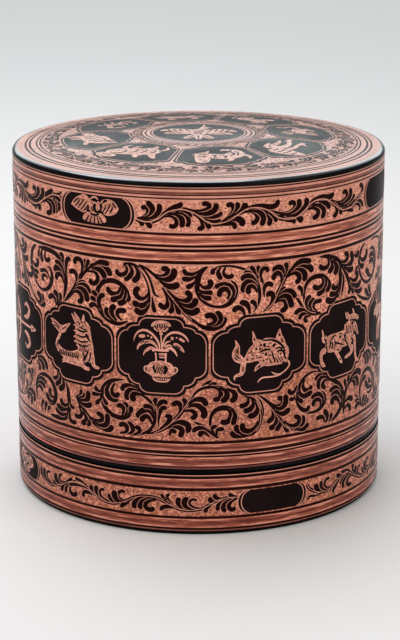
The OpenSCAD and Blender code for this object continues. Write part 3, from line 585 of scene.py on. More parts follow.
LION = (0, 0, [
    (120, -60, 34, 70, -24, 48, 0, 0, 50, -50, 34, 46), (-56, 64, 46, -90, 68, 32, -114, 54, 18),
    (-40, 106, 12, -26, 134, 3), (-16, 84, 13, 16, 106, 3), (-6, 54, 13, 34, 64, 3),
    (-80, 100, 9, -86, 128, 3), (-50, 0, 22, -80, -60, 13, -94, -120, 12),
    (-20, -20, 20, -30, -80, 12, -56, -120, 11), (100, -60, 32, 60, -100, 16, 30, -124, 11),
    (144, -50, 8, 180, 0, 8, 150, 60, 8, 174, 104, 16),
], [
    (-94, 78, 4, -88, 78, 4), (-116, 48, 2, -94, 40, 3, -80, 46, 2),
    (-64, 96, 2.5, -40, 64, 4, -60, 26, 2.5), (-36, 90, 2.5, -14, 56, 3.5, -30, 16, 2.5),
    (60, 14, 2.5, 94, -14, 4, 96, -56, 2.5),
])
LOTUS = (0, 0, [
    (0, -60, 15, 0, 20, 40, 0, 116, 3), (-90, -94, 6, 0, -114, 15, 90, -94, 6),
] + mirrored([
    (-20, -60, 14, -66, 10, 29, -86, 94, 3), (-30, -66, 12, -110, -20, 23, -156, 44, 3),
    (-40, -76, 9, -120, -64, 15, -184, -24, 3),
]), [(0, -30, 3, 0, 70, 3.5)] + mirrored([
    (-36, -30, 2.5, -64, 10, 3.5, -74, 50, 2.5), (-50, -50, 2.5, -100, -20, 3, -126, 10, 2.5),
    (-18, -20, 2, -20, 20, 3, -12, 60, 2),
]))
BALANCE = (0, 0, [
    (0, -120, 10, 0, 0, 8, 0, 130, 9), (-150, 86, 5, 0, 110, 11, 150, 86, 5), (-70, -128, 9, 70, -128, 9),
    (-16, 136, 12, 16, 136, 12),
] + mirrored([
    (-146, 86, 3, -188, -30, 3), (-146, 86, 3, -102, -30, 3), (-196, -36, 6, -145, -50, 20, -94, -36, 6),
    (-30, -110, 4, -46, -70, 9, -24, -40, 4),
]), mirrored([(-170, -46, 2.5, -145, -54, 3.5, -120, -46, 2.5)]))
SCORPION = (0, 0, [
    (-80, -20, 24, -30, -20, 42, 20, -20, 40, 70, -10, 28),
    (60, -10, 20, 120, 20, 18, 140, 80, 15, 100, 120, 12, 60, 106, 3),
    (-70, 0, 9, -120, 40, 11, -120, 86, 17, -80, 96, 3),
    (-80, -40, 9, -130, -60, 11, -164, -34, 16, -156, 6, 3), (-40, 10, 7, -50, 60, 6, -20, 80, 3),
    (0, 10, 7, 10, 60, 6, 40, 70, 3), (-40, -50, 7, -60, -100, 6, -90, -120, 3),
    (0, -50, 7, 0, -100, 6, -30, -130, 3), (40, -40, 7, 60, -90, 6, 40, -130, 3),
], [
    (-70, -8, 3.5, -66, -8, 3.5), (-40, 10, 2.5, -30, -20, 3.5, -40, -50, 2.5),
    (-6, 14, 2.5, 4, -20, 3.5, -6, -54, 2.5), (28, 10, 2.5, 38, -20, 3.5, 28, -50, 2.5),
    (104, 26, 2.5, 116, 4, 3), (124, 64, 2.5, 150, 56, 3),
])
CELL_FIGURES = [BOW, MAKARA, VASE, FISH, RAM, BULL, TWO_BIRDS, CRAB, LION, LOTUS, BALANCE, SCORPION]


# Beasts on the top of the lid, about the middle of a cartouche
RUNNER = (0, 0, [
    (-134, -54, 18, -80, -34, 46, 0, -24, 52, 70, -8, 40, 124, 26, 16),
    (-110, -20, 26, -144, -50, 22, -166, -86, 9), (-86, -60, 24, -100, -110, 17, -92, -150, 10),
    (-46, -60, 20, -44, -100, 13, -60, -136, 9), (80, 0, 26, 124, 34, 15, 160, 68, 5),
    (40, -46, 20, 70, -74, 14, 104, -90, 8), (-60, 24, 16, 0, 48, 14, 70, 54, 9, 110, 74, 4),
], [
    (-126, -34, 3.5, -120, -34, 3.5), (-80, -6, 2.5, -64, -36, 4, -76, -70, 2.5),
    (-30, 14, 2.5, -16, -20, 4, -30, -60, 2.5), (20, 16, 2.5, 34, -14, 4, 20, -50, 2.5),
    (60, 22, 2.5, 74, 0, 4, 64, -32, 2.5), (100, 34, 2, 126, 44, 3),
])
CROUCHER = (0, 0, [
    (-146, -80, 32, -90, -34, 54, -10, 4, 62, 64, 28, 56, 114, 50, 32),
    (-154, -110, 28, -106, -120, 32, -54, -116, 16), (16, 60, 24, 48, 106, 15, 28, 134, 4),
    (86, -6, 22, 104, -50, 15, 130, -86, 8), (30, -34, 20, 24, -70, 14, 44, -94, 8),
    (110, 66, 17, 136, 100, 10, 110, 134, 3), (-110, 16, 16, -140, 54, 12, -126, 90, 3),
    (-60, 26, 14, -76, 70, 10, -54, 98, 3),
], [
    (-144, -94, 4, -138, -94, 4), (-106, -88, 2.5, -80, -76, 4, -60, -44, 2.5),
    (-84, 4, 2.5, -64, -24, 4, -68, -56, 2.5), (-30, 40, 2.5, -14, 6, 4, -26, -40, 2.5),
    (20, 54, 2.5, 34, 20, 4, 24, -20, 2.5), (66, 66, 2.5, 84, 34, 4, 72, -4, 2.5),
    (-124, -124, 2, -86, -114, 3.5), (98, 66, 2, 120, 86, 3),
])
REARER = (0, 0, [
    (-70, 10, 36, -10, -24, 42, 50, -32, 46, 96, 2, 46, 120, 50, 28, 106, 90, 10),
    (-72, 54, 16, -80, 6, 38, -82, -56, 36, -84, -106, 30, -88, -140, 18), (-106, 32, 10, -132, 4, 4),
    (-56, 50, 10, -40, 84, 3.5), (40, -60, 18, 46, -90, 12, 26, -114, 6),
    (96, 76, 12, 56, 94, 10, 30, 76, 3), (128, -14, 12, 144, -60, 9, 130, -94, 5),
], [
    (-96, -86, 4.5, -90, -86, 4.5), (-104, -34, 2.5, -80, -20, 4, -58, -34, 2.5),
    (-100, 12, 2.5, -80, 24, 4, -54, 14, 2.5), (-30, 10, 2.5, -16, -20, 4, -30, -54, 2.5),
    (60, -18, 3, 84, -4, 5, 88, 26, 5, 72, 42, 3), (104, 50, 3, 114, 16, 4, 96, -24, 3),
    (20, -4, 2.5, 34, -32, 4, 20, -64, 2.5), (-88, -124, 2, -66, -120, 3),
])
GOOSE = (0, 0, [
    (-120, 14, 22, -106, -20, 42, -88, -70, 42, -74, -120, 30, -54, -174, 9),
    (-90, 20, 32, -40, 6, 29, 10, 0, 18, 60, 10, 13, 110, 30, 12, 146, 46, 17, 184, 34, 4),
    (-110, 42, 15, -40, 58, 17, 40, 66, 12, 120, 84, 4), (-100, 64, 10, -50, 86, 10, 10, 100, 3),
    (-50, -50, 16, 10, -50, 12, 70, -38, 11, 116, -44, 15, 134, -28, 5), (96, -46, 8, 86, -80, 4),
], [
    (144, 52, 3.5, 150, 52, 3.5), (-120, -10, 2.5, -96, -16, 4, -70, -4, 2.5),
    (-120, -46, 2.5, -90, -50, 4, -60, -40, 2.5), (-110, -80, 2.5, -80, -84, 4, -52, -76, 2.5),
    (-96, -116, 2.5, -74, -120, 3.5, -50, -114, 2.5), (-80, 44, 2, -54, 62, 3), (-30, 50, 2, 0, 70, 3),
])
SPREAD_BIRD = (0, 0, [
    (0, -90, 26, -2, -30, 48, 6, 30, 42, 20, 80, 24), (20, 80, 20, 32, 116, 23, 24, 146, 10),
    (42, 122, 10, 80, 110, 2), (26, 140, 9, 30, 180, 6, 32, 224, 2),
    (-30, 10, 34, -80, 36, 44, -130, 52, 40, -174, 54, 26, -206, 34, 8),
    (-40, -40, 24, -90, -30, 28, -140, -24, 24, -184, -36, 10),
    (34, 6, 34, 80, 26, 42, 130, 36, 40, 174, 32, 26, 206, 6, 8),
    (46, -50, 24, 94, -46, 28, 144, -46, 24, 184, -64, 10), (0, -80, 20, -40, -130, 22, -74, -184, 15),
    (0, -80, 20, 0, -140, 20, 0, -200, 14), (0, -80, 20, 40, -130, 22, 74, -184, 15),
], [
    (30, 124, 4, 36, 124, 4), (-28, 24, 2.5, 0, 8, 4, 28, 22, 2.5),
    (-30, -20, 2.5, -4, -34, 4, 26, -20, 2.5), (-20, -60, 2.5, 0, -70, 4, 20, -60, 2.5),
    (0, -110, 2, 0, -150, 3.5, 0, -186, 2),
] + [
    (side * (x + 4), 72 - side * drop, 2.2, side * x, 38 - side * drop, 4,
     side * (x - 16), 4 - side * drop, 2.2)
    for side, drop in ((-1, 2), (1, 10)) for x in (64, 96, 128, 160)
] + [
    (side * 60, -40 - drop, 2, side * 110, -32 - drop, 3.6, side * 160, -34 - drop, 2)
    for side, drop in ((-1, 0), (1, 16))
] + mirrored([(-26, -110, 2, -48, -144, 3.5, -66, -174, 2)]))
# The figures round the top and their sizes there; those of the wall's cartouches are drawn smaller
SMALL = 0.78
TOP_FIGURES = [(REARER, 1.0), (GOOSE, 1.0), (LION, SMALL), (BULL, SMALL), (CRAB, SMALL),
               (SCORPION, SMALL), (RUNNER, 1.0), (CROUCHER, 1.0)]


# Running scroll of the lid's frieze: the stem's half-width and points, then its leaves, root first
FRIEZE_STEM = np.array([13, -315, 1666, -280, 1656, -240, 1657, -200, 1674, -160, 1706, -120, 1720,
    -80, 1724, -40, 1714, -10, 1700, 20, 1676, 50, 1656, 80, 1650, 120, 1656, 160, 1670, 200, 1697,
    240, 1720, 280, 1726, 320, 1720, 360, 1702, 400, 1670, 440, 1655, 480, 1651, 520, 1660, 560, 1686,
    595, 1714, 630, 1728, 670, 1730, 710, 1720, 750, 1694, 790, 1666, 820, 1652, 860, 1649, 900, 1654,
    940, 1674, 980, 1700, 1010, 1714]) / PER_MM
FRIEZE_LEAVES = in_mm([
    (11.5, -310, 1670, -276, 1678, -254, 1698, -254, 1720, -272, 1729, -288, 1718),
    (14, -290, 1669, -250, 1682, -232, 1704, -232, 1728, -246, 1744, -259, 1760),
    (13, -270, 1667, -226, 1680, -202, 1704, -194, 1726, -198, 1749),
    (13, -304, 1656, -288, 1646, -279, 1632), (13.5, -270, 1652, -250, 1640, -236, 1624),
    (12.5, -180, 1700, -146, 1723, -110, 1738, -88, 1746, -96, 1759),
    (11.5, -185, 1682, -140, 1690, -113, 1676, -108, 1652, -124, 1636, -148, 1642),
    (13.5, -155, 1702, -106, 1698, -84, 1676, -80, 1652, -89, 1634),
    (10.5, -115, 1710, -70, 1700, -51, 1678, -49, 1654, -59, 1636),
    (9, -90, 1718, -56, 1710, -40, 1696, -39, 1686),
    (12, -60, 1727, -10, 1716, 30, 1719, 54, 1734, 49, 1750, 32, 1755, 17, 1746),
    (13.5, -20, 1708, 30, 1702, 66, 1712, 86, 1732, 84, 1756),
    (10, 0, 1698, 40, 1687, 80, 1688, 106, 1698, 114, 1712), (8, 20, 1682, 55, 1667, 86, 1663, 112, 1670),
    (12, -25, 1702, 6, 1682, 20, 1660, 22, 1640, 9, 1628, -5, 1634), (13, 24, 1668, 44, 1650, 56, 1626),
    (11.5, 95, 1644, 130, 1648, 166, 1652, 180, 1638, 174, 1623),
    (16, 150, 1664, 186, 1674, 214, 1662, 220, 1634),
    (11.5, 120, 1666, 154, 1688, 173, 1714, 172, 1736, 156, 1749, 139, 1736),
    (12, 140, 1678, 176, 1696, 194, 1724, 193, 1758), (16, 170, 1689, 206, 1704, 228, 1726, 233, 1754),
    (13, 230, 1720, 270, 1733, 320, 1732, 360, 1723, 390, 1726, 404, 1742, 400, 1756),
    (12, 215, 1704, 264, 1708, 293, 1690, 296, 1666, 282, 1650, 262, 1650),
    (13.5, 250, 1714, 300, 1704, 326, 1680, 326, 1652, 314, 1632),
    (12.5, 300, 1716, 342, 1698, 362, 1672, 363, 1646, 353, 1628),
    (11, 340, 1706, 376, 1682, 394, 1660, 394, 1642),
    (12, 380, 1700, 430, 1683, 474, 1686, 502, 1704, 502, 1726, 484, 1736, 466, 1724),
    (14, 415, 1678, 474, 1676, 512, 1692, 528, 1720, 522, 1749),
    (14.5, 455, 1666, 514, 1670, 552, 1692, 572, 1722, 566, 1749),
    (11, 420, 1656, 464, 1646, 494, 1642, 500, 1624), (17, 504, 1652, 532, 1646, 544, 1626),
    (14.5, 585, 1716, 620, 1735, 670, 1740, 710, 1733, 742, 1740, 743, 1754),
    (13.5, 565, 1686, 610, 1693, 642, 1680, 646, 1656, 630, 1642, 609, 1644),
    (14, 605, 1709, 656, 1698, 683, 1674, 682, 1648, 668, 1632),
    (14, 650, 1720, 694, 1706, 716, 1688, 717, 1670),
    (12, 725, 1710, 760, 1688, 778, 1664, 775, 1640, 762, 1630, 753, 1640),
    (13, 790, 1666, 806, 1650, 814, 1627),
    (11.5, 735, 1716, 786, 1694, 830, 1696, 856, 1714, 854, 1736, 838, 1745, 822, 1732),
    (14, 776, 1688, 830, 1680, 872, 1698, 890, 1726, 882, 1752),
    (10.5, 806, 1672, 864, 1670, 906, 1690, 922, 1718), (8, 840, 1659, 890, 1664, 930, 1686),
    (9, 830, 1648, 870, 1641, 906, 1634, 910, 1626), (9, 915, 1660, 954, 1658, 980, 1642, 976, 1620),
    (10, 935, 1678, 976, 1672, 1004, 1652, 1008, 1632),
    (12, 950, 1690, 984, 1702, 1004, 1724, 996, 1748, 972, 1754),
])
# The end of the scroll that runs up to the next cartouche
FRIEZE_END_STEM = np.array([13, -910, 1694, -880, 1710, -850, 1724, -810, 1730, -780, 1722,
    -769, 1712]) / PER_MM
FRIEZE_END_LEAVES = in_mm([
    (13.5, -940, 1696, -900, 1716, -864, 1734, -847, 1746, -850, 1758),
    (6, -835, 1732, -800, 1737, -778, 1742, -768, 1756),
    (13, -930, 1676, -886, 1688, -856, 1672, -848, 1648, -864, 1629, -892, 1626),
    (11, -900, 1696, -850, 1694, -828, 1672, -826, 1646, -830, 1630),
    (10, -865, 1706, -824, 1696, -806, 1674, -807, 1648, -812, 1634),
    (11, -835, 1714, -800, 1702, -786, 1680, -789, 1650), (11, -830, 1720, -796, 1714, -776, 1700),
])
# Running scroll of the collar: its end, repeated before each cartouche, then its start after each one
COLLAR_STEM = np.array([10.5, -1000, 164, -950, 148, -900, 142, -860, 148, -820, 162, -780, 180, -740, 198,
    -700, 208, -660, 208, -620, 194, -580, 172, -540, 152, -500, 140, -460, 139, -420, 150, -380, 166,
    -340, 188, -300, 200, -260, 202, -220, 198, -180, 182, -140, 160, -100, 144, -60, 137, -20, 140,
    20, 148, 50, 166, 80, 184, 120, 198, 160, 204, 200, 204]) / PER_MM
COLLAR_LEAVES = in_mm([
    (6.5, -840, 148, -890, 148, -926, 158, -942, 182, -934, 204, -906, 208),
    (12, -910, 144, -950, 156, -968, 184, -960, 216), (10, -940, 148, -984, 160, -998, 186, -994, 214),
    (10, -820, 160, -854, 155, -882, 170), (13.5, -805, 174, -840, 174, -858, 194, -852, 216),
    (7.5, -775, 186, -806, 182, -826, 194, -824, 212, -804, 223), (8, -770, 194, -746, 208, -724, 220),
    (8, -620, 202, -654, 219, -684, 225, -706, 229), (11, -786, 168, -804, 150, -808, 129),
    (10, -756, 176, -774, 154, -774, 129),
    (11, -726, 184, -743, 162, -738, 140, -719, 132, -700, 140, -700, 154),
    (8, -620, 190, -660, 194, -710, 192, -750, 180),
    (10, -560, 158, -606, 168, -636, 168, -649, 154, -642, 136),
    (15, -530, 153, -566, 172, -590, 194, -596, 214), (12.5, -505, 149, -540, 166, -562, 192, -558, 218),
    (7, -480, 146, -518, 156, -540, 178, -534, 200, -509, 207),
    (9.5, -430, 148, -464, 152, -482, 170, -482, 188), (14.5, -400, 152, -436, 160, -452, 186, -446, 212),
    (8, -375, 164, -408, 166, -430, 182, -426, 204, -406, 215, -391, 206),
    (9.5, -365, 158, -396, 142, -420, 126), (13, -280, 202, -316, 180, -338, 156, -338, 128),
    (13, -250, 198, -286, 176, -306, 150, -302, 128),
    (11.5, -220, 190, -262, 176, -280, 154, -268, 134, -244, 132, -234, 148),
    (8, -165, 190, -186, 208, -192, 224), (7, -135, 174, -160, 198, -162, 214, -149, 224),
    (10, -95, 144, -140, 154, -176, 153, -192, 144, -192, 130),
    (12.5, -55, 142, -90, 158, -106, 182, -98, 208), (13, -35, 144, -66, 158, -74, 184, -56, 210),
    (6.5, 35, 153, -10, 152, -40, 164, -48, 182, -32, 199, -8, 192), (10, 60, 164, 38, 144, 36, 124),
    (13.5, 90, 186, 68, 188, 54, 210), (10, 130, 198, 94, 204, 82, 214, 92, 226),
    (10, 198, 208, 172, 212, 156, 226), (11, 140, 194, 112, 176, 99, 154, 100, 134),
    (13, 170, 196, 139, 176, 129, 150, 137, 126),
    (11, 196, 196, 166, 178, 155, 158, 164, 140, 180, 138, 186, 152),
])
COLLAR_START_STEM = np.array([10.5, 600, 214, 616, 190, 640, 174, 680, 156, 720, 148, 760, 154, 800, 176,
    840, 196, 880, 208, 920, 204]) / PER_MM
COLLAR_START_LEAVES = in_mm([
    (6, 700, 142, 656, 140, 626, 146, 612, 139, 610, 128), (14, 715, 154, 680, 168, 663, 188, 660, 208),
    (10.5, 740, 156, 710, 170, 696, 192, 700, 214),
    (8, 770, 163, 740, 167, 722, 184, 725, 204, 742, 216, 761, 215), (6, 770, 156, 766, 148, 763, 138),
    (9, 840, 188, 808, 158, 792, 142, 788, 124), (11, 860, 204, 832, 208, 816, 220),
    (7.5, 940, 210, 900, 222, 870, 220, 857, 230), (9, 990, 184, 962, 206, 968, 226, 950, 230),
    (7, 920, 200, 876, 190, 854, 170, 852, 154), (10, 935, 196, 890, 178, 872, 154, 876, 128),
    (9.5, 970, 184, 930, 176, 909, 158, 914, 136, 934, 130, 950, 140),
])


# Meshes
SINK = -0.06
STEPS = 360
CREASE = math.radians(35.0)
POLE_REACH = 1e-6
LEAST_LENGTH = 1e-9
PLATE_RUNGS, LOBE_STEPS, UPRIGHT_STEPS, LEVEL_STEPS = 13, 9, 4, 8


def on_wall(radius):
    """u and z laid on a wall: x = r sin(u / radius), y = -r cos(u / radius), with r = radius + lift."""
    def place(u, z, lift):
        sine, cosine = np.sin(u / radius), np.cos(u / radius)
        r = radius + lift + 0.0 * u
        points = np.stack([r * sine, -r * cosine, z + 0.0 * u], axis=-1)
        return points * MM, np.stack([sine, -cosine, 0.0 * u], axis=-1)
    return place


PANEL_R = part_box("lid_top_panel")[1][0] / MM
PANEL_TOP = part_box("lid_top_panel")[1][2] / MM
PANEL_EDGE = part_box("lid_top_hoop")[1][2] / MM
PANEL_RISE = PANEL_TOP - PANEL_EDGE
TOP_MID = 55.0


def panel_height(r):
    """Height of the domed top at radius r: a parabola from the centre down to the hoop."""
    return PANEL_TOP - PANEL_RISE * (r / PANEL_R) ** 2


def on_top(u, v, lift):
    """u round the axis at the middle radius and v inwards from the lid's edge, laid on the domed top."""
    r = LID_R - v
    sine, cosine = np.sin(u / TOP_MID), np.cos(u / TOP_MID)
    slope = 2.0 * PANEL_RISE * r / PANEL_R ** 2
    points = np.stack([r * sine, -r * cosine, panel_height(r) + lift], axis=-1)
    lean = 1.0 / np.sqrt(1.0 + slope * slope)
    return points * MM, np.stack([slope * sine * lean, -slope * cosine * lean, lean], axis=-1)


def on_middle(x, y, lift):
    """x and y in plan laid on the domed top, with y away from the viewer."""
    r = np.hypot(x, y)
    points = np.stack([x, y, panel_height(r) + lift], axis=-1)
    slope = 2.0 * PANEL_RISE / PANEL_R ** 2
    lean = 1.0 / np.sqrt(1.0 + (slope * r) ** 2)
    return points * MM, np.stack([slope * x * lean, slope * y * lean, lean], axis=-1)


def new_piece(name, points, quads, body, materials, kinds=None, uv=None, normals=None):
    """A smooth mesh object from whole arrays of points and four-sided faces."""
    mesh = bpy.data.meshes.new(name)
    mesh.vertices.add(len(points))
    mesh.vertices.foreach_set("co", np.ascontiguousarray(points, np.float32).ravel())
    mesh.loops.add(quads.size)
    mesh.loops.foreach_set("vertex_index", quads.astype(np.int32).ravel())
    mesh.polygons.add(len(quads))
    mesh.polygons.foreach_set("loop_start", np.arange(len(quads), dtype=np.int32) * 4)
    mesh.polygons.foreach_set("use_smooth", np.ones(len(quads), bool))
    for material in materials:
        mesh.materials.append(material)
    if kinds is not None:
        mesh.polygons.foreach_set("material_index", kinds.astype(np.int32))
    if uv is not None:
        layer = mesh.uv_layers.new(name="bands")
        layer.data.foreach_set("uv", uv.astype(np.float32).ravel())
    mesh.update(calc_edges=True)
    mesh.validate()
    if normals is None:
        mesh.set_sharp_from_angle(angle=CREASE)
    else:
        mesh.normals_split_custom_set_from_vertices(normals.astype(np.float32).tolist())
    piece = bpy.data.objects.new(name, mesh)
    bpy.context.scene.collection.objects.link(piece)
    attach(piece, body)
    return piece


def grid_faces(rows, columns, around=False):
    """Four-sided faces of a grid of rows by columns; around joins the last column to the first."""
    spans = columns if around else columns - 1
    row, column = np.meshgrid(np.arange(rows - 1), np.arange(spans), indexing="ij")
    near, far = row * columns, (row + 1) * columns
    beside = (column + 1) % columns
    return np.stack([near + column, near + beside, far + beside, far + column], axis=-1)


def close_pole(mesh):
    """Joins the points that a ring of no radius leaves on the axis."""
    shape = bmesh.new()
    shape.from_mesh(mesh)
    bmesh.ops.remove_doubles(shape, verts=shape.verts, dist=POLE_REACH)
    shape.to_mesh(mesh)
    shape.free()


def turned(name, node, profile, body):
    """A closed profile turned about the axis: rows of radius, height and the finish that starts there."""
    ring = np.array([row[:2] for row in profile], float)
    count = len(ring)
    angle = np.linspace(0.0, 2.0 * math.pi, STEPS, endpoint=False)
    r, z = ring[:, :1], ring[:, 1:]
    points = np.stack([r * np.sin(angle), -r * np.cos(angle), z + 0.0 * angle], axis=-1) * MM
    quads = grid_faces(count + 1, STEPS, around=True).reshape(-1, 4) % (count * STEPS)
    names = list(dict.fromkeys(row[2] for row in profile))
    kinds = np.repeat([names.index(row[2]) for row in profile], STEPS)
    turn = np.arange(STEPS) / STEPS
    corner_u = np.stack([turn, turn + 1.0 / STEPS, turn + 1.0 / STEPS, turn], axis=-1)
    corner_v = np.broadcast_to([0.0, 0.0, 1.0, 1.0], (STEPS, 4))
    uv = np.broadcast_to(np.stack([corner_u, corner_v], axis=-1), (count, STEPS, 4, 2))
    materials = [FINISHES[key] for key in names]
    piece = new_piece(name, points.reshape(-1, 3), quads, body, materials, kinds, uv)
    if ring[:, 0].min() == 0.0:
        close_pole(piece.data)
    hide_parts(node)


def flat_arrays(points, outward):
    """Points, normals and faces of a stack of grids of one size, as plain lists of rows."""
    count, rows, wide = points.shape[:3]
    faces = grid_faces(rows, wide).reshape(1, -1, 4) + (np.arange(count) * rows * wide)[:, None, None]
    return points.reshape(-1, 3), outward.reshape(-1, 3), faces.reshape(-1, 4)


def stroke_arrays(strokes, lifts, place, widen=0.0, columns=2):
    """Flat raised strokes: the path plus and minus its half-width across it, with sunk edges."""
    path = np.stack([stroke[0] for stroke in strokes])
    half = np.stack([stroke[1] for stroke in strokes]) + widen
    tangent = np.gradient(path, axis=1)
    tangent /= np.maximum(np.linalg.norm(tangent, axis=-1, keepdims=True), LEAST_LENGTH)
    normal = np.stack([-tangent[..., 1], tangent[..., 0]], axis=-1)
    share = np.concatenate([[1.0], np.linspace(1.0, -1.0, columns), [-1.0]])
    spread = half[..., None] * share
    flat = path[:, :, None, :] + normal[:, :, None, :] * spread[..., None]
    lift = np.broadcast_to(np.reshape(lifts, (-1, 1, 1)), flat.shape[:-1]).copy()
    lift[..., 0] = SINK
    lift[..., -1] = SINK
    return flat_arrays(*place(flat[..., 0], flat[..., 1], lift))


def plate_arrays(plates, lift, place):
    """Filled outlines: level rungs from side to side, with sunk edges all round."""
    share = np.concatenate([[-1.0], np.linspace(-1.0, 1.0, PLATE_RUNGS), [1.0]])
    sides = np.stack([plate[1] for plate in plates])
    sides = np.concatenate([sides[:, :1], sides, sides[:, -1:]], axis=1)
    middles = np.stack([plate[0] for plate in plates])[:, None, None, :]
    u = middles[..., 0] + sides[..., :1] * share
    z = middles[..., 1] + sides[..., 1:] + 0.0 * u
    lifts = np.full(u.shape, SINK)
    lifts[:, 1:-1, 1:-1] = lift
    return flat_arrays(*place(u, z, lifts))


def inlay(name, parts, body, finish):
    """One piece from several sets of points, normals and faces, each set counted on from the last."""
    shift = np.cumsum([0] + [len(part[0]) for part in parts])
    points = np.concatenate([part[0] for part in parts])
    normals = np.concatenate([part[1] for part in parts])
    faces = np.concatenate([part[2] + start for part, start in zip(parts, shift)])
    new_piece(name, points, faces, body, [FINISHES[finish]], normals=normals)


def rising_side(half_width, half_height, steps):
    """Half-widths and heights from a cartouche's middle up: an upright, then stepped quarter ellipses."""
    swing = np.linspace(0.0, math.pi / 2.0, LOBE_STEPS)[1:]
    x, z = half_width, half_height - sum(step[1] for step in steps)
    upper = [np.stack([np.full(UPRIGHT_STEPS, x), np.linspace(0.0, z, UPRIGHT_STEPS)], axis=1)]
    for across, rise in reversed(steps):
        upper.append(np.stack([x - across * (1.0 - np.cos(swing)), z + rise * np.sin(swing)], axis=1))
        x, z = x - across, z + rise
    return np.concatenate(upper)


def stepped_side(half_width, half_height, steps, low_steps=None):
    """Right side of a cartouche from its lower corner to its upper one; low_steps shape its lower half."""
    lower = rising_side(half_width, half_height, low_steps or steps)
    return np.concatenate([(lower[1:] * [1.0, -1.0])[::-1], rising_side(half_width, half_height, steps)])


def outline_stroke(middle, side, half):
    """A line of even half-width once round a cartouche: up its right side, over, down and back."""
    level = np.linspace(1.0, -1.0, LEVEL_STEPS)[1:-1, None]
    over = np.concatenate([side[-1, 0] * level, side[-1, 1] + 0.0 * level], axis=1)
    under = np.concatenate([-side[0, 0] * level, side[0, 1] + 0.0 * level], axis=1)
    path = np.concatenate([side, over, (side * [-1.0, 1.0])[::-1], under, side[:1]]) + middle
    return path, np.full(len(path), half)


# Finishes
NOISE_ROUGHNESS, BUMP_DEPTH, COAT_ROUGHNESS, HOOP_COAT_IOR = 0.62, 0.0002, 0.12, 2.4
# Painted light on the left of the lid's lower bevel: where it fades in along x, and its bright red.
LIT_LEFT_END, LIT_LEFT_START, LIT_LEFT_TONE = -0.088, -0.06, (214, 92, 72)


def paint(tone):
    """A colour given in display values from 0 to 255, as linear light."""
    share = np.array(tone) / 255.0
    linear = np.where(share <= 0.04045, share / 12.92, ((share + 0.055) / 1.055) ** 2.4)
    return (*linear.tolist(), 1.0)


def feed(tree, node, values):
    """Each named socket of a node linked to an output socket, or set to a plain value."""
    for key, value in values.items():
        if isinstance(value, bpy.types.NodeSocket):
            tree.links.new(value, node.inputs[key])
        else:
            node.inputs[key].default_value = value


def add(tree, kind, values=None, **settings):
    """A node with its settings and what its sockets are fed."""
    node = tree.nodes.new(kind)
    for key, value in settings.items():
        setattr(node, key, value)
    feed(tree, node, values or {})
    return node


def blend_colours(tree, share, first, second):
    """A mix of two colours; each is a colour or an output socket."""
    return add(tree, "ShaderNodeMix", {0: share, 6: first, 7: second}, data_type="RGBA").outputs[2]


def reckon(tree, operation, *values):
    """A sum on plain values and output sockets."""
    return add(tree, "ShaderNodeMath", dict(enumerate(values)), operation=operation).outputs[0]


def remap(tree, value, low, high, first=0.0, second=1.0):
    """A value carried smoothly from one range to another."""
    limits = {"Value": value, "From Min": low, "From Max": high, "To Min": first, "To Max": second}
    return add(tree, "ShaderNodeMapRange", limits, interpolation_type="SMOOTHSTEP").outputs["Result"]


def object_place(tree):
    """Object coordinates as an output socket."""
    return add(tree, "ShaderNodeTexCoord").outputs["Object"]


def stretched_noise(tree, scale, detail):
    """Noise on Object coordinates with its own scale along each axis."""
    mapping = add(tree, "ShaderNodeMapping", {"Vector": object_place(tree), "Scale": scale})
    noise = add(tree, "ShaderNodeTexNoise", {
        "Vector": mapping.outputs["Vector"], "Scale": 1.0, "Detail": detail, "Roughness": NOISE_ROUGHNESS})
    return noise.outputs["Fac"]


def new_group(name, tones, results):
    """An empty node group with colour inputs and the named results, and its input and output nodes."""
    group = bpy.data.node_groups.new(name, "ShaderNodeTree")
    for key in tones:
        group.interface.new_socket(key, in_out="INPUT", socket_type="NodeSocketColor")
    for key in results:
        kind = "NodeSocketColor" if key == "Color" else "NodeSocketFloat"
        group.interface.new_socket(key, in_out="OUTPUT", socket_type=kind)
    return group, group.nodes.new("NodeGroupInput").outputs, group.nodes.new("NodeGroupOutput")


def make_lacquer_skin():
    """Polish of hand-rubbed lacquer: cloudy gloss, fine turning marks and small rubbed spots."""
    group, _, out = new_group("lacquer_skin", [], ["Roughness", "Height", "Tone", "Rubbed"])
    cloud = stretched_noise(group, (38.0, 38.0, 38.0), 4.0)
    marks = stretched_noise(group, (70.0, 70.0, 2600.0), 3.0)
    specks = stretched_noise(group, (420.0, 420.0, 420.0), 6.0)
    gloss = remap(group, cloud, 0.3, 0.75, 0.12, 0.3)
    feed(group, out, {
        "Roughness": reckon(group, "MULTIPLY_ADD", marks, 0.16, gloss),
        "Height": reckon(group, "MULTIPLY_ADD", marks, 0.35, specks),
        "Tone": remap(group, cloud, 0.3, 0.7),
        "Rubbed": remap(group, specks, 0.66, 0.74)})
    return group


def make_engraved_flecks():
    """Flecks of fine engraving: three tones laid over a fourth at the size of a needle's stroke."""
    tones = ["Dark", "Middle", "Light", "Gold"]
    group, given, out = new_group("engraved_flecks", tones, ["Color", "Height"])
    fine = stretched_noise(group, (620.0, 620.0, 620.0), 4.0)
    dots = stretched_noise(group, (760.0, 760.0, 1150.0), 3.0)
    patches = stretched_noise(group, (210.0, 210.0, 210.0), 4.0)
    colour = blend_colours(group, remap(group, fine, 0.42, 0.6), given["Middle"], given["Light"])
    colour = blend_colours(group, remap(group, patches, 0.5, 0.66), colour, given["Gold"])
    colour = blend_colours(group, remap(group, dots, 0.5, 0.62), colour, given["Dark"])
    feed(group, out, {"Color": colour, "Height": fine})
    return group


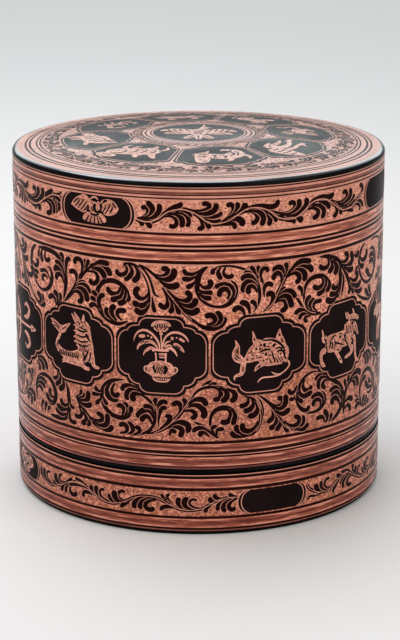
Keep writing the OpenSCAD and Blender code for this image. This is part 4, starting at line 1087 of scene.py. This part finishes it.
def make_ribbon_streaks():
    """A ring ribbon: bright along both edges, dark along its middle, with streaks that run round."""
    group, given, out = new_group("ribbon_streaks", ["Edge", "Side", "Middle"], ["Color", "Height"])
    bands = add(group, "ShaderNodeUVMap", uv_map="bands")
    across = add(group, "ShaderNodeSeparateXYZ", {0: bands.outputs["UV"]}).outputs["Y"]
    away = reckon(group, "ABSOLUTE", reckon(group, "SUBTRACT", across, 0.5))
    streaks = stretched_noise(group, (70.0, 70.0, 1300.0), 4.0)
    spread = reckon(group, "MULTIPLY_ADD", streaks, 1.7, away)
    colour = blend_colours(group, remap(group, spread, 0.84, 1.16), given["Middle"], given["Side"])
    colour = blend_colours(group, remap(group, spread, 1.18, 1.32), colour, given["Edge"])
    colour = blend_colours(group, remap(group, away, 0.45, 0.49), colour, given["Side"])
    feed(group, out, {"Color": colour, "Height": streaks})
    return group


lacquer_skin = make_lacquer_skin()
engraved_flecks = make_engraved_flecks()
ribbon_streaks = make_ribbon_streaks()


def lacquer(name, pattern, polish, rubbed, tones):
    """A lacquer finish: a pattern group or a plain pair of tones, rubbed to another tone in small spots."""
    material = bpy.data.materials.new(name)
    material.use_nodes = True
    tree = material.node_tree
    gloss, coat, bump = polish
    colours = [paint(tone) for tone in tones]
    skin = add(tree, "ShaderNodeGroup", node_tree=lacquer_skin).outputs
    if pattern is None:
        colour, height = blend_colours(tree, skin["Tone"], *colours), skin["Height"]
    else:
        drawn = add(tree, "ShaderNodeGroup", dict(enumerate(colours)), node_tree=pattern).outputs
        colour, height = drawn["Color"], drawn["Height"]
    relief = add(tree, "ShaderNodeBump", {"Height": height, "Strength": bump, "Distance": BUMP_DEPTH})
    feed(tree, tree.nodes["Principled BSDF"], {
        "Base Color": blend_colours(tree, skin["Rubbed"], colour, paint(rubbed)),
        "Roughness": skin["Roughness"], "Normal": relief.outputs["Normal"],
        "Specular IOR Level": gloss, "Coat Weight": coat, "Coat Roughness": COAT_ROUGHNESS})
    return material


def light_painted_left(material, tone):
    """Painted light on the left of a ring: a mask along x lays a bright red over the finish where light
    from the left falls on it.
    """
    tree = material.node_tree
    shader = tree.nodes["Principled BSDF"]
    finish = shader.inputs["Base Color"].links[0].from_socket
    across = add(tree, "ShaderNodeSeparateXYZ", {0: object_place(tree)}).outputs["X"]
    lit_share = remap(tree, across, LIT_LEFT_END, LIT_LEFT_START, 1.0, 0.0)
    feed(tree, shader, {"Base Color": blend_colours(tree, lit_share, finish, paint(tone))})


# Gloss, coat and relief of the copper finishes
FLECKED, STREAKED, LINED = (0.25, 0.0, 0.25), (0.25, 0.0, 0.2), (0.25, 0.0, 0.15)
MAROON = (0.35, 0.1, 0.1), (48, 16, 16), [(80, 28, 26), (114, 50, 44)]
# Each row: material, pattern, its gloss, coat and relief, the tone of rubbed spots, and the tones
FINISH_ROWS = {
    "ground": ("engraved_copper_ground", engraved_flecks, FLECKED, (110, 56, 40),
               [(100, 50, 37), (154, 85, 65), (220, 140, 113), (164, 95, 62)]),
    "high_ground": ("engraved_bright_ground", engraved_flecks, FLECKED, (120, 62, 46),
                    [(122, 62, 46), (184, 108, 85), (246, 166, 138), (196, 120, 82)]),
    "pale_ground": ("engraved_pale_ground", engraved_flecks, FLECKED, (130, 70, 52),
                    [(126, 66, 50), (196, 122, 100), (232, 160, 138), (206, 138, 98)]),
    # The top's finishes are the wall's engraved copper painted paler: a painted sky sheen stands in for the
    # reflection of the bright sky on the upward faces.
    "top_ground": ("engraved_top_ground", engraved_flecks, FLECKED, (110, 72, 60),
                   [(104, 65, 54), (166, 115, 99), (212, 163, 146), (174, 126, 98)]),
    "top_light": ("pale_top_line", None, LINED, (124, 86, 76), [(168, 119, 104), (200, 153, 138)]),
    "top_sheen_rim": ("bright_top_line", None, LINED, (150, 104, 90), [(192, 144, 128), (220, 174, 157)]),
    "top_figure": ("engraved_top_figure", engraved_flecks, FLECKED, (118, 76, 62),
                   [(108, 66, 54), (180, 131, 115), (224, 179, 162), (188, 140, 112)]),
    "ribbon": ("hatched_ribbon", ribbon_streaks, STREAKED, (104, 52, 38),
               [(210, 138, 116), (150, 77, 58), (97, 37, 24)]),
    "high_ribbon": ("hatched_bright_ribbon", ribbon_streaks, STREAKED, (120, 60, 44),
                    [(232, 158, 134), (176, 98, 76), (118, 52, 37)]),
    # A dim hatched ribbon. The same finish is laid on the collar's pale foot line as painted shade.
    "brown": ("dim_ribbon", ribbon_streaks, STREAKED, (80, 38, 28),
              [(150, 90, 74), (122, 66, 52), (92, 44, 34)]),
    "light": ("pale_copper_line", None, LINED, (136, 76, 58), [(180, 114, 94), (210, 143, 123)]),
    "rim": ("bright_copper_line", None, LINED, (150, 88, 70), [(196, 128, 108), (228, 160, 140)]),
    "leaf": ("warm_black_leaf", None, (0.035, 0.0, 0.05), (36, 18, 14), [(22, 4, 3), (29, 7, 5)]),
    "groove": ("dark_groove", None, (0.05, 0.0, 0.1), (84, 38, 28), [(24, 3, 1), (40, 8, 4)]),
    "cell": ("warm_black_cartouche", None, (0.008, 0.0, 0.05), (32, 25, 27), [(23, 14, 15), (30, 19, 20)]),
    "black": ("black_lacquer_gloss", None, (0.05, 0.0, 0.05), (22, 13, 12), [(3, 3, 4), (7, 5, 6)]),
    "hoop": ("black_hoop_polish", None, (0.08, 1.0, 0.02), (26, 16, 16), [(5, 3, 5), (10, 6, 8)]),
    "figure": ("engraved_copper_figure", engraved_flecks, FLECKED, (110, 58, 42),
               [(126, 70, 54), (182, 114, 94), (226, 156, 133), (188, 122, 88)]),
    "maroon": ("maroon_lacquer_gloss", None, *MAROON),
    # Maroon with painted light on its left side.
    "worn_maroon": ("worn_maroon_lacquer", None, *MAROON),
    "red": ("red_lacquer_satin", None, (0.35, 0.05, 0.12), (112, 30, 20), [(150, 40, 22), (184, 62, 34)]),
}
FINISHES = {key: lacquer(*row) for key, row in FINISH_ROWS.items()}
# The lid's lower bevel gets painted light on its left, a bright red where the light from the left falls.
light_painted_left(FINISHES["worn_maroon"], LIT_LEFT_TONE)
# The hoop's hard polish mirrors the light overhead
FINISHES["hoop"].node_tree.nodes["Principled BSDF"].inputs["Coat IOR"].default_value = HOOP_COAT_IOR


# Turned pieces, in mm
GROOVE_DEPTH, GROOVE_LIP = 0.15, 0.1
LID_BORE, COLLAR_BORE = 97.4, 96.85


def banded(radius, bands):
    """Outer side of a ring from the bottom up: bands of height and finish, with the grooves cut in."""
    rows = []
    for (low, finish), (high, _) in zip(bands[:-1], bands[1:]):
        rows.append((radius, low, finish))
        if finish == "groove":
            rows.append((radius - GROOVE_DEPTH, low + GROOVE_LIP, finish))
            rows.append((radius - GROOVE_DEPTH, high - GROOVE_LIP, finish))
    return rows


def arc_rows(r, z, across, up, swing, finish):
    """Rows along an ellipse about (r, z): r + across times cosine, z + up times sine."""
    return [(r + across * math.cos(a), z + up * math.sin(a), finish) for a in swing]


def ends_of(node):
    """Heights in mm of a CAD node's underside and upper side."""
    low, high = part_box(node)
    return low[2] / MM, high[2] / MM


lid_low, lid_high = ends_of("lid_wall")
LID_BANDS = [
    (lid_low, "groove"), (37.75, "ribbon"), (42.7, "groove"), (43.6, "light"), (44.1, "groove"),
    (45.85, "ribbon"), (49.8, "groove"), (51.42, "ground"), (96.0, "high_ground"), (143.5, "light"),
    (144.4, "groove"), (146.12, "high_ribbon"), (150.6, "groove"), (152.15, "light"), (152.95, "groove"),
    (154.24, "high_ribbon"), (159.02, "groove"), (160.34, "light"), (161.1, "pale_ground"),
    (176.35, "light"), (177.35, "groove"), (178.1, "light"), (179.15, "groove"), (179.75, "brown"),
    (181.2, "light"), (182.35, "groove"), (lid_high, "groove")]
turned("lid_wall_engraved", "lid_wall", banded(LID_R, LID_BANDS) + [
    (LID_R, lid_high, "black"), (LID_BORE, lid_high, "red"), (LID_BORE, lid_low, "maroon")],
    "lid")

rim_low, rim_high = ends_of("lid_mouth_rim")
RIM_SOFT, RIM_BEND_IN, RIM_BEND_UP, RIM_LINE = 0.45, 0.12, 0.15, 0.3
# The rim's outer bevel carries painted light on its left side.
turned("lid_mouth_rim_turned", "lid_mouth_rim", [
    (LID_BORE, rim_low, "maroon"), (LID_R - RIM_SOFT, rim_low, "worn_maroon"),
    (LID_R - RIM_BEND_IN, rim_low + RIM_BEND_UP, "worn_maroon"),
    (LID_R, rim_low + RIM_SOFT, "worn_maroon"), (LID_R, rim_high - RIM_LINE, "groove"),
    (LID_R, rim_high, "maroon"), (LID_BORE, rim_high, "maroon")], "lid")

hoop_low, hoop_high = ends_of("lid_top_hoop")
HOOP_ROUND, HOOP_INNER, HOOP_LEDGE, HOOP_REBATE, HOOP_LINE = 2.4, 95.5, 93.5, 1.9, 0.38
HOOP_SWING, HOOP_DULL = np.linspace(0.0, math.pi / 2.0, 13), 5
hoop_arc = (LID_R - HOOP_ROUND, hoop_high - HOOP_ROUND, HOOP_ROUND, HOOP_ROUND)
# The hoop's inner flat takes the top's painted sky sheen.
turned("lid_top_hoop_turned", "lid_top_hoop", [
    (HOOP_LEDGE, hoop_low, "black"), (LID_R, hoop_low, "light"), (LID_R, hoop_low + HOOP_LINE, "black"),
    *arc_rows(*hoop_arc, HOOP_SWING[:HOOP_DULL], "black"),
    *arc_rows(*hoop_arc, HOOP_SWING[HOOP_DULL:-1], "hoop"),
    (LID_R - HOOP_ROUND, hoop_high, "top_light"), (HOOP_INNER, hoop_high, "black"),
    (HOOP_INNER, hoop_high - HOOP_REBATE, "black"), (HOOP_LEDGE, hoop_high - HOOP_REBATE, "red")],
    "lid")

# The top's pale rings and engraved ground carry the painted sky sheen.
PANEL_BANDS = [
    (PANEL_R, "top_light"), (93.4, "groove"), (92.3, "top_light"), (91.2, "groove"), (90.0, "top_light"),
    (87.4, "groove"), (86.5, "top_light"), (85.6, "groove"), (84.7, "top_ground"), (73.0, "top_ground"),
    (67.0, "top_ground"), (58.0, "top_ground"), (48.0, "top_ground"), (37.0, "top_ground"),
    (31.4, "groove"), (30.3, "top_light"), (29.0, "groove"), (28.0, "top_light"), (26.2, "groove"),
    (25.3, "top_light"), (24.6, "black"), (17.0, "black"), (9.0, "black"), (0.0, "red")]
PANEL_THICK, PANEL_UNDER = 1.9, (0.0, 20.0, 40.0, 60.0, 80.0)
turned("lid_top_panel_engraved", "lid_top_panel", [
    (PANEL_R, PANEL_EDGE - PANEL_THICK, "black"),
    *((r, panel_height(r), finish) for r, finish in PANEL_BANDS),
    *((r, panel_height(r) - PANEL_THICK, "red") for r in PANEL_UNDER)], "lid")

collar_low, collar_high = ends_of("collar")
COLLAR_SOFT, COLLAR_BEND = 0.8, 0.23
# The band at the collar's foot is its pale line, painted dim brown as painted shade.
COLLAR_BANDS = [
    (collar_low + COLLAR_SOFT, "brown"), (3.1, "groove"), (4.15, "ribbon"), (9.05, "groove"),
    (10.5, "ground"), (24.25, "groove"), (25.95, "ribbon"), (30.9, "groove"), (32.45, "light"),
    (32.95, "groove"), (collar_high, "groove")]
turned("collar_engraved", "collar", [
    (COLLAR_BORE, collar_low, "black"), (COLLAR_R - COLLAR_SOFT, collar_low, "black"),
    (COLLAR_R - COLLAR_BEND, collar_low + COLLAR_BEND, "brown"), *banded(COLLAR_R, COLLAR_BANDS),
    (COLLAR_R, collar_high, "black"), (COLLAR_BORE, collar_high, "red")], "base")

bead_low, bead_high = ends_of("shoulder_bead")
BEAD_R, BEAD_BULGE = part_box("shoulder_bead")[1][0] / MM, 0.8
BEAD_SWING = np.linspace(-math.pi / 2.0, math.pi / 2.0, 9)
turned("shoulder_bead_turned", "shoulder_bead", [
    (COLLAR_BORE, bead_low, "black"),
    *arc_rows(BEAD_R - BEAD_BULGE, 0.5 * (bead_low + bead_high), BEAD_BULGE, 0.5 * (bead_high - bead_low),
              BEAD_SWING, "black"),
    (COLLAR_BORE, bead_high, "black")], "base")

foot_high = ends_of("foot_ring")[1]
FOOT_R, FOOT_BORE, FOOT_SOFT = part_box("foot_ring")[1][0] / MM, 88.3, 0.5
turned("foot_ring_turned", "foot_ring", [
    (FOOT_BORE, 0.0, "black"), (FOOT_R - FOOT_SOFT, 0.0, "black"), (FOOT_R, FOOT_SOFT, "black"),
    (FOOT_R, foot_high, "black"), (FOOT_BORE, foot_high, "black")], "base")

for node, finish in (
        ("drum_wall", "red"), ("drum_lip", "black"), ("drum_floor", "red"),
        ("lower_tray_wall", "red"), ("lower_tray_lip", "black"), ("lower_tray_spigot", "black"),
        ("lower_tray_floor", "red"), ("upper_tray_wall", "red"), ("upper_tray_lip", "black"),
        ("upper_tray_spigot", "black"), ("upper_tray_floor", "red")):
    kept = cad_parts[node]
    kept.data.materials.clear()
    kept.data.materials.append(FINISHES[finish])


# Engraved pieces: each kind of stroke has its own lift off the wall in mm, so later lies on earlier
VINE_LIFT, BASE_LIFT, LIFT_STEP, LAYERS = 0.035, 0.055, 0.016, 6
VEIN_LIFT = BASE_LIFT + LIFT_STEP * LAYERS
PLATE_LIFT, LINE_LIFT, FIGURE_LIFT, FILL_LIFT, MARK_LIFT = 0.05, 0.1, 0.12, 0.17, 0.24
FIGURE_STEP, FIGURE_COLUMNS = 0.006, 7
LINE_HALF, RIM_HALF, FILL_LEAST = 0.25, 0.38, 0.02
LEAF_SWELL, MARK_SWELL, FRIEZE_SWELL, COLLAR_SWELL, TOP_SWELL = 1.45, 1.3, 1.1, 1.22, 1.35
HALO, HALO_START, HALO_RUN = 0.3, 0.1, 0.25
LEAF_HALO = HALO * np.clip((LEAF_STATIONS - HALO_START) / HALO_RUN, -1.0, 1.0)
FRIEZE_VEIN, COLLAR_VEIN = 0.19, 0.13
WALL_TONES = ("cell", "light", "rim", "figure")
# Tones for the top: black plates, then pale lines, rims and figures painted paler as the top's sky sheen.
TOP_SKY_SHEEN_TONES = ("black", "top_light", "top_sheen_rim", "top_figure")
lid_side, collar_side = on_wall(LID_R), on_wall(COLLAR_R)


def layered(count, base=BASE_LIFT, step=LIFT_STEP):
    """Lifts of strokes drawn one over the other: base plus step times the place in a repeating order."""
    return base + step * (np.arange(count) % LAYERS)


def leaves_of(rows, swell):
    """Leaves drawn from rows, with every half-width times the swell."""
    return [leaf([row[0] * swell, *row[1:]]) for row in rows]


def scrolls(name, vines, leaves, veins, place, body, pale="light"):
    """Black scrollwork with a pale line round each stroke, and pale veins drawn over it."""
    edges, bodies = [], []
    for strokes, lifts, halo in ((vines, VINE_LIFT, HALO), (leaves, layered(len(leaves)), LEAF_HALO)):
        edges.append(stroke_arrays(strokes, lifts - 0.5 * LIFT_STEP, place, halo))
        bodies.append(stroke_arrays(strokes, lifts, place))
    if veins:
        edges.append(stroke_arrays(veins, VEIN_LIFT, place))
    inlay(name + "_pale_edges", edges, body, pale)
    inlay(name, bodies, body, "leaf")


def all_round(strokes):
    """Strokes of the reference pair, and their copies wherever no stroke was traced in its own place."""
    copies = [to_pair(stroke, pair) for pair in range(1, CELLS // 2) for stroke in strokes]
    turns = [(path[:, 0].mean() + 0.5 * GIRTH) % GIRTH - 0.5 * GIRTH for path, _ in copies]
    traced = [BESIDE_REACH[0] < turn < BESIDE_REACH[1] for turn in turns]
    return strokes + [stroke for stroke, own in zip(copies, traced) if not own]


for zone, vine_rows, leaf_rows, vein_rows in (("upper", UPPER_VINES, UPPER_LEAVES, UPPER_VEINS),
                                              ("lower", LOWER_VINES, LOWER_LEAVES, LOWER_VEINS),
                                              ("beside", BESIDE_VINES, BESIDE_LEAVES, [])):
    drawn = [[vine(row) for row in vine_rows], leaves_of(leaf_rows, LEAF_SWELL),
             [stem(row) for row in vein_rows]]
    if zone != "beside":
        drawn = [all_round(strokes) for strokes in drawn]
    scrolls("lid_%s_scrolls" % zone, *drawn, lid_side, "lid")


def figure_strokes(figure, middle, scale=1.0):
    """A figure's copper and black strokes in mm, moved to a middle and scaled about it."""
    home = np.array(figure[:2]) / PER_MM

    def moved(row, swell=1.0):
        points = np.reshape(row, (-1, 3)) / PER_MM
        points[:, :2] = middle + (points[:, :2] - home) * scale
        points[:, 2] *= scale * swell
        return limb(points)
    return [moved(row) for row in figure[2]], [moved(row, MARK_SWELL) for row in figure[3]]


def beasts(name, figures, place, body, tones=WALL_TONES):
    """Copper figures: a pale rim, an engraved filling drawn in from it, and black marks on top."""
    copper = [stroke for figure in figures for stroke in figure[0]]
    marks = [stroke for figure in figures for stroke in figure[1]]
    filled = [(path, np.maximum(half - RIM_HALF, FILL_LEAST)) for path, half in copper
              if half.max() > 2.0 * RIM_HALF]
    for kind, strokes, base, finish in (("_figure_rims", copper, FIGURE_LIFT, tones[2]),
                                        ("_figures", filled, FILL_LIFT, tones[3])):
        lifts = layered(len(strokes), base, FIGURE_STEP)
        raised = stroke_arrays(strokes, lifts, place, columns=FIGURE_COLUMNS)
        inlay(name + kind, [raised], body, finish)
    inlay(name + "_figure_marks", [stroke_arrays(marks, MARK_LIFT, place)], body, "black")


def cartouches(name, plates, lines, figures, place, body, tones=WALL_TONES):
    """Black plates with a pale line inside the edge, and copper figures on them."""
    inlay(name + "_plates", [plate_arrays(plates, PLATE_LIFT, place)], body, tones[0])
    inlay(name + "_lines", [stroke_arrays(lines, LINE_LIFT, place)], body, tones[1])
    beasts(name, figures, place, body, tones)


# A lid cartouche: inset and half-height of its plate and of its line, then its two inner lobes above and
# below; the outer lobe takes what the cell's half-width leaves
CELL_Z, CELL_PLATE, CELL_LINE = 96.25, (0.5, 21.35), (1.75, 19.75)
CELL_LOBES = [([(5.0, 4.2), (6.1, 3.0)], 19.3, 6.6), ([(5.0, 4.3), (5.8, 4.4)], 19.0, 5.2)]


def cell_side(half_cell, inset, half_height):
    """Side of a lid cartouche: three lobes above and three below, with the corners at fixed places."""
    high, low = (lobes + [(half_cell - taken, rise)] for lobes, taken, rise in CELL_LOBES)
    return stepped_side(half_cell - inset, half_height, high, low)


cells = [(np.array([0.5 * (left + right), CELL_Z]), 0.5 * (right - left))
         for left, right in zip(CELL_EDGES[:-1], CELL_EDGES[1:])]
# A figure traced in its place keeps its own height, and one drawn about nought stands at the middle
cartouches("lid_cartouche",
           [(m, cell_side(h, *CELL_PLATE)) for m, h in cells],
           [outline_stroke(m, cell_side(h, *CELL_LINE), LINE_HALF) for m, h in cells],
           [figure_strokes(f, (m[0], f[1] / PER_MM or m[1])) for f, (m, _) in zip(CELL_FIGURES, cells)],
           lid_side, "lid")


def moved_along(rows, shift):
    """The same strokes carried along the wall: the shift is added to every u."""
    points = [np.reshape(row[1:], (-1, 2)) + [shift, 0.0] for row in rows]
    return [np.concatenate([row[:1], moved.ravel()]) for row, moved in zip(rows, points)]


def lying_in(rows, low, high):
    """The strokes that lie whole between two places on the wall."""
    return [row for row in rows if np.min(row[1::2]) > low and np.max(row[1::2]) < high]


STEM_GAP = 4.0


def scroll_round(middles, half, home, start, end, start_yields, blend):
    """Stem and leaf rows of a scroll between each further pair of cartouches.

    Each run is a start carried on to its own cartouche and an end carried up to the next one. One of them
    yields to the other: it loses the leaves that lie within the blend, and its stem stops short by a gap.
    """
    stems, leaves = [], []
    ends = [u - half for u in middles[2:]] + [GIRTH + middles[0] - half]
    for near, far in zip(middles[1:], ends):
        lead, *first = moved_along([start[0], *start[1]], near - home)
        tail, *last = moved_along([end[0], *end[1]], far - home + half)
        lead, tail = np.reshape(lead[1:], (-1, 2)), np.reshape(tail[1:], (-1, 2))
        if start_yields:
            first = lying_in(first, near, far - blend)
            lead = lead[lead[:, 0] < tail[0, 0] - STEM_GAP]
        else:
            last = lying_in(last, near + half + blend, far)
            tail = tail[tail[:, 0] > lead[-1, 0] + STEM_GAP]
        leaves += first + last
        stems.append(np.concatenate([start[0][:1], lead.ravel(), tail.ravel()]))
    return stems, leaves


END_SWING, END_INSETS, END_FLAT = np.linspace(-1.35, 1.35, 20), (-0.35, 1.55), 0.4


def end_lines(middle, half_width, half_height, reach):
    """Two pale arcs at each end of a frieze cartouche: reach times cosine by half-height times sine."""
    arcs = []
    for side in (1.0, -1.0):
        for inset in END_INSETS:
            x = half_width - reach - inset + reach * np.cos(END_SWING)
            path = np.stack([side * x, half_height * np.sin(END_SWING)], axis=1) + middle
            arcs.append((path, np.full(len(path), LINE_HALF)))
    return arcs


def frieze(name, stems, leaves, vein, middles, size, scale, place, body):
    """A ring of running scroll with round-ended cartouches let into it; every second one holds a bird."""
    vines = [stem(row) for row in stems]
    scrolls(name + "_scrolls", vines, leaves, [(path, vein * half) for path, half in vines], place, body)
    half_width, half_height, reach = size
    side = stepped_side(half_width, half_height, [(reach, half_height - END_FLAT)])
    cartouches(name + "_cartouche", [(m, side) for m in middles],
               [arc for m in middles for arc in end_lines(m, *size)],
               [figure_strokes(BIRD, m, scale) for m in middles[::2]], place, body)


# Cartouches of the two rings: where they stand, and their half-width, half-height and reach of the ends
FRIEZE_MIDDLES, FRIEZE_Z, FRIEZE_BLEND = [-54.5, 124.5, 274.5, 424.5], 168.7, 15.0
FRIEZE_SIZE = (22.0, 7.8, 6.0)
stems, leaves = scroll_round(FRIEZE_MIDDLES, FRIEZE_SIZE[0], FRIEZE_MIDDLES[0],
                             (FRIEZE_STEM, FRIEZE_LEAVES), (FRIEZE_END_STEM, FRIEZE_END_LEAVES),
                             start_yields=True, blend=FRIEZE_BLEND)
frieze("lid_frieze", [FRIEZE_STEM] + stems, leaves_of(FRIEZE_LEAVES + leaves, FRIEZE_SWELL), FRIEZE_VEIN,
       [np.array([u, FRIEZE_Z]) for u in FRIEZE_MIDDLES], FRIEZE_SIZE, 1.0, lid_side, "lid")

COLLAR_MIDDLES, COLLAR_Z, COLLAR_BLEND = [-121.0, 40.0, 195.8, 351.5], 17.45, 38.0
COLLAR_SIZE, COLLAR_BIRD = (19.4, 6.4, 5.4), 0.84
stems, leaves = scroll_round(COLLAR_MIDDLES, COLLAR_SIZE[0], COLLAR_MIDDLES[1],
                             (COLLAR_START_STEM, COLLAR_START_LEAVES), (COLLAR_STEM, COLLAR_LEAVES),
                             start_yields=False, blend=COLLAR_BLEND)
frieze("collar", [COLLAR_STEM] + stems, leaves_of(COLLAR_LEAVES + leaves, COLLAR_SWELL), COLLAR_VEIN,
       [np.array([u, COLLAR_Z]) for u in COLLAR_MIDDLES], COLLAR_SIZE, COLLAR_BIRD, collar_side, "base")


# Top of the lid: eight cartouches round a medallion, with a ring of scrolls outside them and one inside
TOP_GIRTH = 2.0 * math.pi * TOP_MID
TOP_PITCH = TOP_GIRTH / len(TOP_FIGURES)
TOP_TURN = math.radians(10.5) * TOP_MID
TOP_PLATE, TOP_LINE = (0.5, 19.0), (1.7, 17.7)
TOP_STEPS = [(3.5, 2.0), (5.0, 3.0), (4.5, 3.5)]
FRIEZE_SPAN = (FRIEZE_MIDDLES[0] + FRIEZE_SIZE[0], FRIEZE_MIDDLES[1] - FRIEZE_SIZE[0])
FRIEZE_LOW = 161.0
top_middles = [np.array([TOP_TURN + k * TOP_PITCH, LID_R - TOP_MID]) for k in range(len(TOP_FIGURES))]


def top_side(inset, half_height):
    """Side of a top cartouche: three lobes above and three below, an inset away from its neighbour."""
    return stepped_side(0.5 * TOP_PITCH - inset, half_height, TOP_STEPS)


cartouches("top_cartouche",
           [(m, top_side(*TOP_PLATE)) for m in top_middles],
           [outline_stroke(m, top_side(*TOP_LINE), LINE_HALF) for m in top_middles],
           [figure_strokes(f, m, scale) for (f, scale), m in zip(TOP_FIGURES, top_middles)],
           on_top, "lid", TOP_SKY_SHEEN_TONES)


def to_top(row, turn, turns, low, share_up):
    """A stroke of the lid's frieze laid small on a ring of the top: u as a share of a turn, z from low."""
    points = np.reshape(row[1:], (-1, 2)).copy()
    share = (points[:, 0] - FRIEZE_SPAN[0]) / (FRIEZE_SPAN[1] - FRIEZE_SPAN[0])
    points[:, 0] = (turn + share) * TOP_GIRTH / turns
    points[:, 1] = low + (points[:, 1] - FRIEZE_LOW) * share_up
    return np.concatenate([[row[0] * share_up], points.ravel()])


# The top's scrolls have pale edges in the painted sky sheen.
for name, turns, low, share_up in (("top_outer_scrolls", 5, 15.6, 0.64),
                                   ("top_inner_scrolls", 4, 63.4, 0.33)):
    vines = [stem(to_top(FRIEZE_STEM, k, turns, low, share_up)) for k in range(turns)]
    leaf_rows = [to_top(row, k, turns, low, share_up) for k in range(turns) for row in FRIEZE_LEAVES]
    veins = [(path, FRIEZE_VEIN * half) for path, half in vines]
    scrolls(name, vines, leaves_of(leaf_rows, TOP_SWELL), veins, on_top, "lid", "top_light")

beasts("top_medallion", [figure_strokes(SPREAD_BIRD, (0.0, 0.0))], on_middle, "lid", TOP_SKY_SHEEN_TONES)


# Floor, lights and camera
FLOOR_HALF, FLOOR_TONE, FLOOR_ROUGHNESS = 4.0, (0.72, 0.71, 0.69, 1.0), 0.8


def floor_mesh(half):
    """A flat square about the origin at table height."""
    corners = np.array([(-half, -half, 0.0), (half, -half, 0.0), (half, half, 0.0), (-half, half, 0.0)])
    mesh = bpy.data.meshes.new("pale_floor")
    mesh.from_pydata(corners.tolist(), [], [(0, 1, 2, 3)])
    return mesh


floor_paint = bpy.data.materials.new("pale_floor_paint")
floor_paint.use_nodes = True
feed(floor_paint.node_tree, floor_paint.node_tree.nodes["Principled BSDF"],
     {"Base Color": FLOOR_TONE, "Roughness": FLOOR_ROUGHNESS})
floor = bpy.data.objects.new("pale_floor", floor_mesh(FLOOR_HALF))
floor.data.materials.append(floor_paint)
bpy.context.scene.collection.objects.link(floor)


def soft_light(name, place, aim, size, power, colour):
    """A soft light that faces a point: its tilt and turn come from the way between the two places."""
    data = bpy.data.lights.new(name, "AREA")
    data.shape = "RECTANGLE"
    data.size, data.size_y = size
    data.energy = power
    data.color = colour
    lamp = bpy.data.objects.new(name, data)
    away = np.array(place) - np.array(aim)
    lamp.location = place
    lamp.rotation_euler = (math.atan2(math.hypot(away[0], away[1]), away[2]), 0.0,
                           math.atan2(away[0], -away[1]))
    bpy.context.scene.collection.objects.link(lamp)


BOX_MIDDLE = (0.0, 0.0, 0.1)
soft_light("key_light", (-1.3, -1.3, 1.3), BOX_MIDDLE, (2.2, 2.2), 27.0, (1.0, 0.97, 0.94))
soft_light("fill_light", (1.4, -1.2, 0.9), BOX_MIDDLE, (1.8, 1.7), 20.0, (1.0, 0.96, 0.92))
soft_light("over_light", (-0.35, 0.35, 1.3), (-0.35, 0.35, 0.0), (1.3, 1.0), 14.0, (0.94, 0.92, 1.0))
soft_light("back_light", (0.0, 2.8, 1.7), BOX_MIDDLE, (3.9, 2.1), 38.0, (0.9, 0.98, 1.0))

WORLD_TONE, WORLD_STRENGTH = (0.86, 0.93, 0.95, 1.0), 0.3
world = bpy.data.worlds.new("studio")
world.use_nodes = True
feed(world.node_tree, world.node_tree.nodes["Background"],
     {"Color": WORLD_TONE, "Strength": WORLD_STRENGTH})
scene = bpy.context.scene
scene.world = world
scene.view_settings.view_transform = "Standard"

camera_data = bpy.data.cameras.new("camera")
camera_data.sensor_width = 36.0
camera_data.lens = 116.55
camera = bpy.data.objects.new("camera", camera_data)
camera.location = (0.0, -1.0988, 0.4003)
camera.rotation_euler = (math.radians(74.097), 0.0, math.radians(-0.040))
scene.collection.objects.link(camera)
scene.camera = camera
